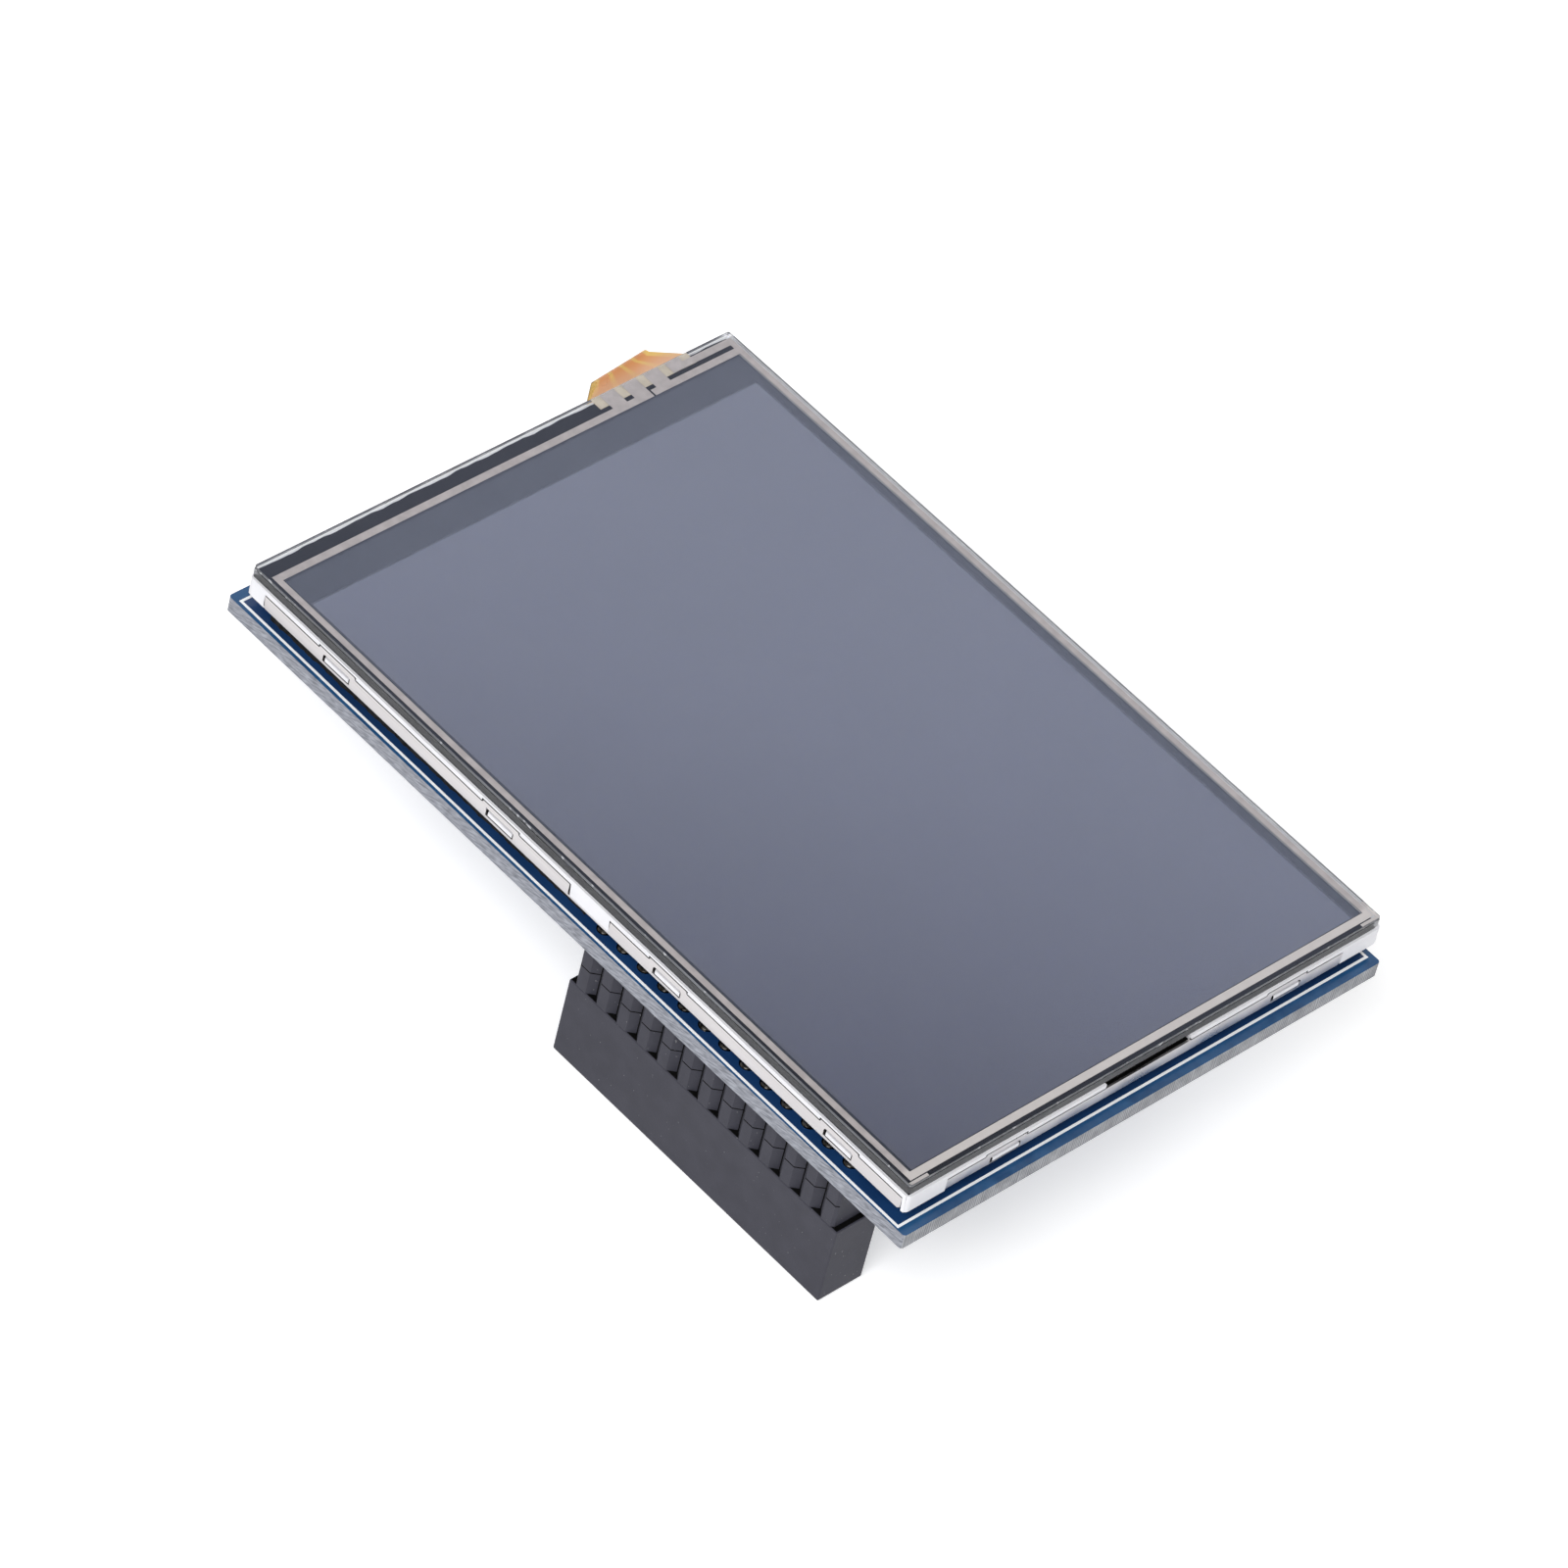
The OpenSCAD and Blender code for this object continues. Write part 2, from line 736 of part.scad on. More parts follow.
// Foam tape: one strip along the free long side, one along the socket's side that stops
// short of the solder joints, and one across the near end
module foam_tape() {
    strip_out = half_wid - foam_inset;
    far_x = -half_len + post_far + foam_inset;
    near_x = half_len - foam_inset;
    joints_x = -board_x - socket_len / 2 - joint_r;
    color([0.07, 0.07, 0.07])
        at_lcd()
            plate(board_z, foam_t) {
                rect([far_x, strip_out - foam_wid], [near_x, strip_out]);
                rect([far_x, -strip_out], [joints_x, -strip_out + foam_wid]);
                rect(
                    [near_x - foam_wid, -half_wid + post_side + socket_wid],
                    [near_x, strip_out - 2 * foam_wid]
                );
            }
}

// Outline of the shield's floor: the module's outline less its four corner posts
module shield_outline() {
    difference() {
        square([lcd_len, lcd_wid], center = true);
        for (side = [0, 1])
            mirror([0, side])
                union() {
                    rect([half_len - post_near, half_wid - post_side], [half_len + over, half_wid + over]);
                    rect([-half_len - over, half_wid - post_side], [-half_len + post_far, half_wid + over]);
                }
    }
}

// Plan of the sheet on a long side, between two places along it
module long_sheet(from_x, to_x) {
    for (side = [0, 1])
        mirror([0, side])
            rect([from_x, half_wid - sheet_t], [to_x, half_wid]);
}

// Plan of the sheet on a short side, between two places along it
module short_sheet(from_y, to_y) {
    for (side = [0, 1])
        mirror([side, 0])
            rect([half_len - sheet_t, from_y], [half_len, to_y]);
}

// Plan of all the shield's walls
module wall_plan() {
    difference() {
        long_sheet(-half_len + post_far, half_len - post_near);
        long_sheet(wall_gap_off - wall_gap / 2, wall_gap_off + wall_gap / 2);
    }
    short_sheet(-half_wid + post_side, half_wid - post_side);
}

// Plan of a band of the given width at every latch
module latch_plan(wid) {
    for (x = latch_xs)
        long_sheet(x - wid / 2, x + wid / 2);
    for (y = [-latch_off_y, latch_off_y])
        short_sheet(y - wid / 2, y + wid / 2);
}

// Solid walls of the shield with their latch tabs, before the windows are cut
module shield_walls() {
    plate(shield_z, wall_h)
        wall_plan();
    plate(shield_z, wall_h + tab_rise)
        latch_plan(tab_wid);
}

// Band through the shield's walls at the latch windows, thinned all round by a clearance
// and carried past the sheet by a reach
module latch_windows(clear, reach) {
    wid = window_wid - 2 * clear;
    plate(shield_z + window_from + clear, window_h - 2 * clear) {
        for (x = latch_xs, side = [0, 1])
            mirror([0, side])
                rect([x - wid / 2, half_wid - sheet_t - reach], [x + wid / 2, half_wid + reach]);
        for (y = [-latch_off_y, latch_off_y], side = [0, 1])
            mirror([side, 0])
                rect([half_len - sheet_t - reach, y - wid / 2], [half_len + reach, y + wid / 2]);
    }
}

// Room for the ribbon over the far end of the shield and frame
module ribbon_notch() {
    notch_z = wall_top_z - notch_sink;
    plate(notch_z, filter_z + ribbon_t + ribbon_over - notch_z)
        translate([0, ribbon_y])
            rect(
                [-half_len - over, -ribbon_wid / 2 - glass_clear],
                [-pocket_end, ribbon_wid / 2 + glass_clear]
            );
}

module back_shield() {
    color([0.8, 0.8, 0.81])
        at_lcd()
            difference() {
                union() {
                    plate(shield_z, sheet_t)
                        shield_outline();
                    shield_walls();
                }
                latch_windows(0, over);
                ribbon_notch();
            }
}

// White frame: a rim round the glass over a ledge, relieved for the shield's walls,
// with a hook in each latch window and a post at each corner
module backlight_frame() {
    color([0.95, 0.95, 0.97])
        at_lcd() {
            difference() {
                union() {
                    plate(tray_z, frame_top_z - tray_z)
                        rounded_rect(lcd_len, lcd_wid, lcd_r);
                    plate(shield_z, sheet_t)
                        difference() {
                            rounded_rect(lcd_len, lcd_wid, lcd_r);
                            shield_outline();
                        }
                }
                plate(tray_z - over, frame_top_z - tray_z + 2 * over)
                    square([2 * opening_end, 2 * opening_side], center = true);
                plate(ledge_z, frame_top_z - ledge_z + over)
                    square([2 * pocket_end, 2 * pocket_side], center = true);
                shield_walls();
                plate(wall_top_z - notch_sink, frame_top_z)
                    rect([pocket_end, -near_notch / 2], [half_len + over, near_notch / 2]);
                ribbon_notch();
            }
            latch_windows(hook_clear, hook_proud);
        }
}

// Plan of the backlight's films, from the lamps to the near end
module film_plan() {
    rect([films_far, -films_side], [films_end, films_side]);
}

module reflector_film() {
    color([0.92, 0.93, 0.95])
        at_lcd()
            plate(tray_z, reflector_t)
                film_plan();
}

module light_guide() {
    color([0.86, 0.93, 0.95])
        at_lcd()
            plate(guide_z, guide_t)
                film_plan();
}

module diffuser_film() {
    color([0.96, 0.96, 0.96])
        at_lcd()
            plate(diffuser_z, diffuser_t)
                film_plan();
}

module prism_film_lower() {
    color([0.85, 0.87, 0.9])
        at_lcd()
            plate(prism_z, prism_t)
                film_plan();
}

module prism_film_upper() {
    color([0.87, 0.88, 0.9])
        at_lcd()
            plate(prism_z + prism_t, prism_t)
                film_plan();
}

module lamp_strip() {
    color([0.85, 0.6, 0.2])
        at_lcd()
            plate(tray_z, lamp_strip_t)
                rect([-films_end, -films_side], [films_far - film_clear, films_side]);
}

module lamps() {
    step = 2 * films_side / lamp_count;
    near_x = films_far - film_clear;
    color([0.98, 0.95, 0.75])
        at_lcd()
            for (i = [0:lamp_count - 1])
                translate([0, (i - (lamp_count - 1) / 2) * step, 0])
                    block(
                        [near_x - lamp_depth, -lamp_len / 2, tray_z + lamp_strip_t],
                        [near_x, lamp_len / 2, tray_z + lamp_strip_t + lamp_h]
                    );
}

module rim_tape() {
    color([0.05, 0.05, 0.05])
        at_lcd()
            plate(ledge_z, rim_t)
                difference() {
                    square([2 * glass_end, 2 * glass_side], center = true);
                    square([2 * opening_end, 2 * opening_side], center = true);
                }
}

module rear_polarizer() {
    color([0.2, 0.21, 0.24])
        at_lcd()
            plate(rear_pol_z, polarizer_t)
                square([2 * films_end, 2 * films_side], center = true);
}

module tft_glass() {
    color([0.3, 0.34, 0.38])
        at_lcd()
            plate(tft_z, cell_glass_t)
                square([2 * glass_end, 2 * glass_side], center = true);
}

module colour_filter_glass() {
    color([0.22, 0.24, 0.28])
        at_lcd()
            plate(filter_z, cell_glass_t)
                rect([filter_far, -glass_side], [glass_end, glass_side]);
}

// Plan of the front polarizer, grown all round
module front_pol_plan(grow) {
    rect(
        [front_pol_far_x - grow, -front_pol_side - grow],
        [front_pol_near_x + grow, front_pol_side + grow]
    );
}

module front_polarizer() {
    color([0.38, 0.4, 0.45])
        at_lcd()
            plate(front_pol_z, polarizer_t)
                front_pol_plan(0);
}

module driver_chip() {
    chip_x = -glass_end + ribbon_bond + (driver_ledge - ribbon_bond - driver_wid) / 2;
    color([0.3, 0.3, 0.33])
        at_lcd()
            plate(filter_z, driver_t)
                rect([chip_x, -driver_len / 2], [chip_x + driver_wid, driver_len / 2]);
}

// Outline round two bends of one centre height from the bottom and from the top
module bend_outline(height, centre, r) {
    for (z = [centre, height - centre])
        translate([0, z])
            circle(r = r, $fn = round_fn);
    rect([-r, centre], [r, height - centre]);
}

// Side view of a ribbon that runs out at a height, turns down in two bends and lies on the board
module turned_ribbon(start_x, turn_x, land_len, height, bend_r, t) {
    translate([turn_x, 0]) {
        difference() {
            bend_outline(height, bend_r, bend_r);
            bend_outline(height, bend_r, bend_r - t);
            rect([0, -over], [bend_r + over, height + over]);
        }
        rect([0, height - t], [start_x - turn_x, height]);
        rect([0, 0], [land_len, t]);
    }
}

// Turns a side view drawn in X and Z into a band across the module
module band(y, wid) {
    translate([0, y + wid / 2, board_z])
        rotate([90, 0, 0])
            linear_extrude(wid)
                children();
}

module screen_ribbon() {
    ribbon_h = filter_z + ribbon_t - board_z;
    color([0.75, 0.5, 0.2])
        at_lcd()
            band(ribbon_y, ribbon_wid)
                turned_ribbon(
                    -glass_end + ribbon_bond, ribbon_turn_x, ribbon_land, ribbon_h, ribbon_bend_r, ribbon_t
                );
}

module panel_gasket() {
    color([0.05, 0.05, 0.05])
        at_lcd()
            plate(frame_top_z, gasket_t)
                difference() {
                    rect(
                        [panel_far_x + gasket_far, -panel_side + gasket_inset],
                        [panel_end - gasket_inset, panel_side - gasket_inset]
                    );
                    front_pol_plan(gasket_clear);
                }
}

// Outline of the touch panel, set in by an inset
module panel_plan(inset) {
    translate([(panel_end + panel_far_x) / 2, 0])
        rounded_rect(panel_end - panel_far_x - 2 * inset, 2 * (panel_side - inset), panel_r);
}

module touch_glass() {
    color([0.6, 0.65, 0.7, 0.5])
        at_lcd()
            plate(panel_z, panel_glass_t)
                panel_plan(0);
}

// Ring of silver paste round the touch area, broken at the far end between two pads
module conductor_ring() {
    difference() {
        rect([ring_far, -ring_side], [ring_near, ring_side]);
        rect(
            [ring_far + trace_wid, -ring_side + trace_side_wid],
            [ring_near - trace_wid, ring_side - trace_side_wid]
        );
        translate([ring_far, pad_ys[1] + pad_wid / 2])
            rect([-over, 0], [trace_wid + over, ring_break]);
    }
}

// Pads over the tail's root: three run on to the ring, and the last one to the lead
// that goes round the ring's far corner
module conductor_pads() {
    edge_x = panel_far_x + film_inset;
    for (i = [0:3])
        rect(
            [edge_x, pad_ys[i] - pad_wid / 2],
            [i < 3 ? ring_far : tail_root_x, pad_ys[i] + pad_wid / 2]
        );
    rect([far_lead_x, pad_ys[3]], [tail_root_x, ring_side]);
    rect([far_lead_x, ring_side - trace_side_wid], [ring_far, ring_side]);
}

// Room for the ring, the pads, their lead and the tail's root
module far_conductor_room() {
    root_half = tail_root_wid / 2 + spacer_clear;
    rect(
        [ring_far, -ring_side] - spacer_clear * [1, 1],
        [ring_near, ring_side] + spacer_clear * [1, 1]
    );
    rect([panel_far_x - over, tail_off_y - root_half], [ring_far, tail_off_y + root_half]);
    rect([far_lead_x - spacer_clear, pad_ys[3]], [ring_far, ring_side + spacer_clear]);
}

// Leads round the near corner and along the near edge at the socket's side
module near_leads() {
    rect(
        [lead_near_x - lead_len, lead_side_y - lead_wid],
        [lead_near_x, lead_side_y]
    );
    for (side = [0, 1])
        mirror([0, side])
            rect([lead_near_x - lead_wid, lead_side_y - lead_len], [lead_near_x, lead_side_y]);
}

// Room for those leads, open to the ring and to the panel's edge
module near_lead_room() {
    lead_end = lead_len + spacer_clear;
    rect([lead_near_x - lead_end, ring_side], [panel_end + over, panel_side + over]);
    for (side = [0, 1])
        mirror([0, side])
            rect([ring_near, lead_side_y - lead_end], [panel_end + over, panel_side + over]);
}

module touch_spacer() {
    color([0.2, 0.2, 0.22])
        at_lcd()
            plate(spacer_z, spacer_t)
                difference() {
                    panel_plan(film_inset);
                    far_conductor_room();
                    near_lead_room();
                }
}

module touch_conductors() {
    color([0.72, 0.7, 0.68])
        at_lcd()
            plate(film_z - trace_t, trace_t) {
                conductor_ring();
                conductor_pads();
                near_leads();
            }
}

module touch_film() {
    color([0.7, 0.74, 0.8, 0.5])
        at_lcd()
            plate(film_z, film_t)
                panel_plan(film_inset);
}

// Orange tail: a wide root bonded on the glass that narrows, turns down over the
// module's far end and lies on the board
module touch_tail() {
    root_half = tail_root_wid / 2;
    tail_h = spacer_z + tail_t - board_z;
    neck_low = tail_shift - tail_wid / 2;
    neck_high = tail_shift + tail_wid / 2;
    color([0.9, 0.55, 0.15])
        at_lcd() {
            plate(spacer_z, tail_t)
                translate([0, tail_off_y])
                    polygon([
                        [tail_root_x, -root_half], [tail_root_x, root_half], [panel_far_x, root_half],
                        [tail_turn_x, neck_high], [tail_turn_x, neck_low], [panel_far_x, -root_half]
                    ]);
            band(tail_off_y + tail_shift, tail_wid)
                turned_ribbon(tail_turn_x + over, tail_turn_x, tail_land, tail_h, tail_bend_r, tail_t);
        }
}

// Copper fingers between the tail's root and the printed pads
module tail_fingers() {
    finger_z = spacer_z + tail_t;
    half = pad_wid / 2 - finger_inset;
    color([0.8, 0.65, 0.5])
        at_lcd()
            plate(finger_z, film_z - trace_t - finger_z)
                for (y = pad_ys)
                    rect([panel_far_x + film_inset, y - half], [tail_root_x, y + half]);
}

circuit_board();
socket_body();
socket_contacts();
spacer_strip_lower();
spacer_strip_upper();
solder_joints();
touch_controller();
shift_register_a();
shift_register_b();
bit_counter();
hex_inverter();
lamp_transistor();
chip_leads();
chip_capacitors();
chip_resistors();
chip_end_caps();
foam_tape();
back_shield();
backlight_frame();
reflector_film();
light_guide();
diffuser_film();
prism_film_lower();
prism_film_upper();
lamp_strip();
lamps();
rim_tape();
rear_polarizer();
tft_glass();
colour_filter_glass();
front_polarizer();
driver_chip();
screen_ribbon();
panel_gasket();
touch_glass();
touch_spacer();
touch_conductors();
touch_film();
touch_tail();
tail_fingers();
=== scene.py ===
"""Looks of a plug-on touchscreen display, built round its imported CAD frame.

Meshes are drawn in millimetres in the frame of the CAD part and scaled to metres when a
piece is finished: origin at the centre of the socket's mating face, +X towards the end
that carries the socket, +Y across the board and away from it, +Z out of the screen. The
far end, where the tail leaves the panel, is the one at -X.
"""

from __future__ import annotations

import logging
import math
from dataclasses import dataclass
from enum import Enum
from typing import Callable, Iterable, Sequence

import bmesh
import bpy
from mathutils import Euler, Matrix, Vector

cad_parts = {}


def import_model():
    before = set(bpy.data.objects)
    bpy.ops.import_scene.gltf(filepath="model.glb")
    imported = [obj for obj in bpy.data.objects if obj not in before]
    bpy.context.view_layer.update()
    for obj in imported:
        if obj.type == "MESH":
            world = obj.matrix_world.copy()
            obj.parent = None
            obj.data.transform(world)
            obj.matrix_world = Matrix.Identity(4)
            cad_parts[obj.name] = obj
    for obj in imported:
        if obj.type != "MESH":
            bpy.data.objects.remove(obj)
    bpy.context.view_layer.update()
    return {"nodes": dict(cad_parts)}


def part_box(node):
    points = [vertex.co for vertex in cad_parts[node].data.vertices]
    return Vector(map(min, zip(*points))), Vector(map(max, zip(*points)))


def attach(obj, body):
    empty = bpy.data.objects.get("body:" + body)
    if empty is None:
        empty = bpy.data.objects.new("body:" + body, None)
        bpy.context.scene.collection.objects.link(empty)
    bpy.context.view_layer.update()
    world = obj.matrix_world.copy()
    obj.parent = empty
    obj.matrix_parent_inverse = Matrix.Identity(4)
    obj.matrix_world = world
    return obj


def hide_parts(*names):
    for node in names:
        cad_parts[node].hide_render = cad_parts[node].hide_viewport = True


log = logging.getLogger("touchscreen_display")

Colour = tuple[float, float, float]
Point = tuple[float, float, float]
Span = tuple[float, float]
Flat = tuple[float, float]
# Lowest and highest corner of a rectangle in plan
Corners = tuple[Flat, Flat]
Socket = bpy.types.NodeSocket
Vert, Edge, Face = bmesh.types.BMVert, bmesh.types.BMEdge, bmesh.types.BMFace

MM = 0.001
ROOT = "root"
WHITE: Colour = (1.0, 1.0, 1.0)
# Range that most of a noise pattern lies in, and a whole one
NOISE: Span = (0.3, 0.7)
WHOLE: Span = (0.0, 1.0)
# Distance in millimetres under which two places count as one
NEAR = 0.01
# Share of an axis in a direction that runs across it, along it and exactly along it
ACROSS, ALONG, EXACT = 0.1, 0.9, 0.999
# Share of Z in a normal that parts level faces from standing ones
SLOPE = 0.5
# Places of the socket's columns along X and of its rows along Y
PITCH = 2.54
COLUMN_X = tuple(number * PITCH for number in range(-6, 7))
ROW_Y = (-PITCH / 2, PITCH / 2)


class Grain(Enum):
    """How a pattern is stretched along the axes of the part."""

    EVEN = (1.0, 1.0, 1.0)
    ALONG_X = (0.06, 1.0, 1.0)
    FIBRE = (0.16, 1.0, 1.0)
    UPRIGHT = (1.0, 1.0, 0.05)


class Nodes:
    """A node tree, with the steps that materials and the sky share."""

    def __init__(self, tree: bpy.types.NodeTree) -> None:
        """Start from an empty tree."""
        self.tree = tree
        tree.nodes.clear()

    def put(self, target: Socket, value: object) -> None:
        """Link an input to a socket, or set it to a plain value.

        Args:
            target: The input.
            value: Socket, number, vector or colour.
        """
        if isinstance(value, Socket):
            self.tree.links.new(value, target)
        else:
            target.default_value = (*value, 1.0) if target.type == "RGBA" else value

    def set(self, node: bpy.types.Node, **values: object) -> None:
        """Link or set inputs of a node, with _ for each space in a name."""
        for key, value in values.items():
            self.put(node.inputs[key.replace("_", " ")], value)

    def add(self, kind: str, *first: object, **named: object) -> bpy.types.Node:
        """Add a node.

        Args:
            kind: Blender's name for the node's type, without ShaderNode.
            first: Sockets or plain values for its first inputs.
            named: The same for inputs by name.

        Returns:
            The new node.
        """
        node = self.tree.nodes.new(f"ShaderNode{kind}")
        for target, value in zip(node.inputs, first):
            self.put(target, value)
        self.set(node, **named)
        return node

    def axis(self, place: Socket, name: str) -> Socket:
        """Give one coordinate of a place."""
        return self.add("SeparateXYZ", place).outputs[name]

    def span(self, value: Socket, source: Span, target: Span = WHOLE, curve: str = "SMOOTHSTEP") -> Socket:
        """Map a range of values to another, clamped at both ends.

        Args:
            value: Value to map.
            source: Range that is read.
            target: Range that is given.
            curve: Blender's name for the way between the two ends.

        Returns:
            The mapped value.
        """
        node = self.add("MapRange", value, *source, *target)
        node.interpolation_type = curve
        return node.outputs["Result"]

    def math(self, operation: str, *values: Socket | float) -> Socket:
        """Work out a value.

        Args:
            operation: Blender's name for the operation.
            values: What it works on.

        Returns:
            The result.
        """
        node = self.add("Math", *values)
        node.operation = operation
        return node.outputs["Value"]


class Recipe(Nodes):
    """Node tree of one material, with the patterns that the finishes share."""

    def __init__(self, name: str) -> None:
        """Start a material whose output shows one Principled shader.

        Args:
            name: Name of the material.
        """
        self.material = bpy.data.materials.new(name)
        self.material.use_nodes = True
        super().__init__(self.material.node_tree)
        self.shader = self.add("BsdfPrincipled")
        self.output = self.add("OutputMaterial", self.shader.outputs["BSDF"])

    def place(self, grain: Grain = Grain.EVEN, climb: float = 0.0) -> Socket:
        """Give the place on the part.

        Args:
            grain: Stretch of the coordinates.
            climb: Angle in degrees by which the stretched X axis rises.

        Returns:
            Object coordinates in metres, stretched.
        """
        where = self.add("TexCoord").outputs["Object"]
        turn = (0.0, -math.radians(climb), 0.0)
        stretch = [1.0 / share for share in grain.value]
        mapping = self.add("Mapping", Vector=where, Rotation=turn, Scale=stretch)
        mapping.vector_type = "TEXTURE"
        return mapping.outputs["Vector"]

    def noise(self, at: Socket, size: float, detail: float = 3.0) -> Socket:
        """Give a noise pattern by the size in metres of its patches and the octaves of finer detail."""
        return self.add("TexNoise", Vector=at, Scale=1.0 / size, Detail=detail).outputs["Fac"]

    def mix(self, share: Socket, under: Socket | Colour, over: Socket | Colour) -> Socket:
        """Lay one colour over another.

        Args:
            share: How much of the upper colour shows.
            under: Lower colour.
            over: Upper colour.

        Returns:
            The mixed colour.
        """
        node = self.add("Mix", share)
        node.data_type = "RGBA"
        # The node lists the sockets of all data types: 6, 7 and output 2 are those of colours
        self.put(node.inputs[6], under)
        self.put(node.inputs[7], over)
        return node.outputs[2]

    def overlay(self, share: Socket, over: Socket | Colour) -> None:
        """Lay a colour over the one that the shader has so far."""
        under = self.shader.inputs["Base Color"].links[0].from_socket
        self.set(self.shader, Base_Color=self.mix(share, under, over))

    def relief(self, height: Socket, depth: float) -> None:
        """Roughen the surface with a pattern, to a depth in metres."""
        bump = self.add("Bump", Height=height, Distance=depth, Strength=1.0)
        self.set(self.shader, Normal=bump.outputs["Normal"])

    def blend(self, share: Socket, first: Socket, second: Socket) -> None:
        """Show two shaders, with a share of the second one."""
        both = self.add("MixShader", share, first, second)
        self.set(self.output, Surface=both.outputs["Shader"])


@dataclass(frozen=True)
class Surface:
    """What a piece looks like: a material that is made on first use."""

    name: str

    def material(self) -> bpy.types.Material:
        """Give the surface's material."""
        label = f"finish_{self.name}"
        if label not in bpy.data.materials:
            self.fill(Recipe(label))
        return bpy.data.materials[label]

    def fill(self, recipe: Recipe) -> None:
        """Fill in the node tree of a new material."""
        raise NotImplementedError


@dataclass(frozen=True)
class Finish(Surface):
    """Mottled surface: two shades, a range of roughness and a fine relief.

    Sizes are in metres: patch is the size of the mottling, depth the height of the
    relief and pit the size of its bumps. The grain rises along X by climb degrees.
    """

    dark: Colour
    light: Colour
    rough: Span = (0.4, 0.5)
    patch: float = 0.003
    grain: Grain = Grain.EVEN
    climb: float = 0.0
    metal: float = 0.0
    shine: float = 0.5
    index: float = 1.5
    glow: float = 0.0
    depth: float = 0.0
    pit: float = 0.0002
    shades: Span = (0.33, 0.67)
    rough_patch: float = 2.7

    def fill(self, recipe: Recipe) -> None:
        """Add the shades, the roughness and the relief.

        Args:
            recipe: Node tree to fill in.
        """
        at = recipe.place(self.grain, self.climb)
        mottle = recipe.span(recipe.noise(at, self.patch), self.shades, curve="LINEAR")
        worn = recipe.noise(at, self.patch * self.rough_patch, 2.0)
        recipe.set(
            recipe.shader, Base_Color=recipe.mix(mottle, self.dark, self.light),
            Roughness=recipe.span(worn, NOISE, self.rough), Metallic=self.metal,
            Specular_IOR_Level=self.shine, IOR=self.index, Transmission_Weight=self.glow,
        )
        if self.depth:
            recipe.relief(recipe.noise(at, self.pit, 2.0), self.depth)


@dataclass(frozen=True)
class SpeckledFinish(Finish):
    """Mottled surface with sparse pale specks."""

    speck: Colour = (0.5, 0.5, 0.5)
    speck_size: float = 0.0004
    speck_from: float = 0.72
    speck_blur: float = 0.06
    speck_share: float = 0.8

    def fill(self, recipe: Recipe) -> None:
        """Add the specks to the mottling.

        Args:
            recipe: Node tree to fill in.
        """
        super().fill(recipe)
        grit = recipe.noise(recipe.place(), self.speck_size, 1.0)
        edge = (self.speck_from, self.speck_from + self.speck_blur)
        recipe.overlay(recipe.span(grit, edge, (0.0, self.speck_share)), self.speck)


@dataclass(frozen=True)
class RibbedFinish(Finish):
    """Mottled surface with the upright marks of a milling cutter.

    Their pitch along Y is in metres, and they drift by up to drift radians over a few pitches.
    """

    groove: Colour = (0.1, 0.1, 0.1)
    groove_share: float = 0.75
    pitch: float = 0.00024
    drift: float = 7.0
    drift_pitches: float = 5.0
    crest: Span = (-0.2, 0.9)

    def fill(self, recipe: Recipe) -> None:
        """Add the marks to the mottling.

        Args:
            recipe: Node tree to fill in.
        """
        super().fill(recipe)
        waver = recipe.noise(recipe.place(Grain.UPRIGHT), self.pitch * self.drift_pitches)
        drift = recipe.span(waver, NOISE, (0.0, self.drift), "LINEAR")
        turns = recipe.math("MULTIPLY", recipe.axis(recipe.place(), "Y"), 2 * math.pi / self.pitch)
        wave = recipe.math("SINE", recipe.math("ADD", turns, drift))
        recipe.overlay(recipe.span(wave, self.crest, (0.0, self.groove_share)), self.groove)


@dataclass(frozen=True)
class PaintedLitEndFinish(Finish):
    """Mottled surface with painted light: paler beyond a place along X, given in metres."""

    pale: Colour = (0.73, 0.69, 0.67)
    pale_share: float = 0.7
    turn: Span = (0.0203, 0.0209)

    def fill(self, recipe: Recipe) -> None:
        """Add the painted light of the paler end to the mottling.

        Args:
            recipe: Node tree to fill in.
        """
        super().fill(recipe)
        # Painted light: paler beyond turn along X
        along = recipe.axis(recipe.place(), "X")
        recipe.overlay(recipe.span(along, self.turn, (0.0, self.pale_share)), self.pale)


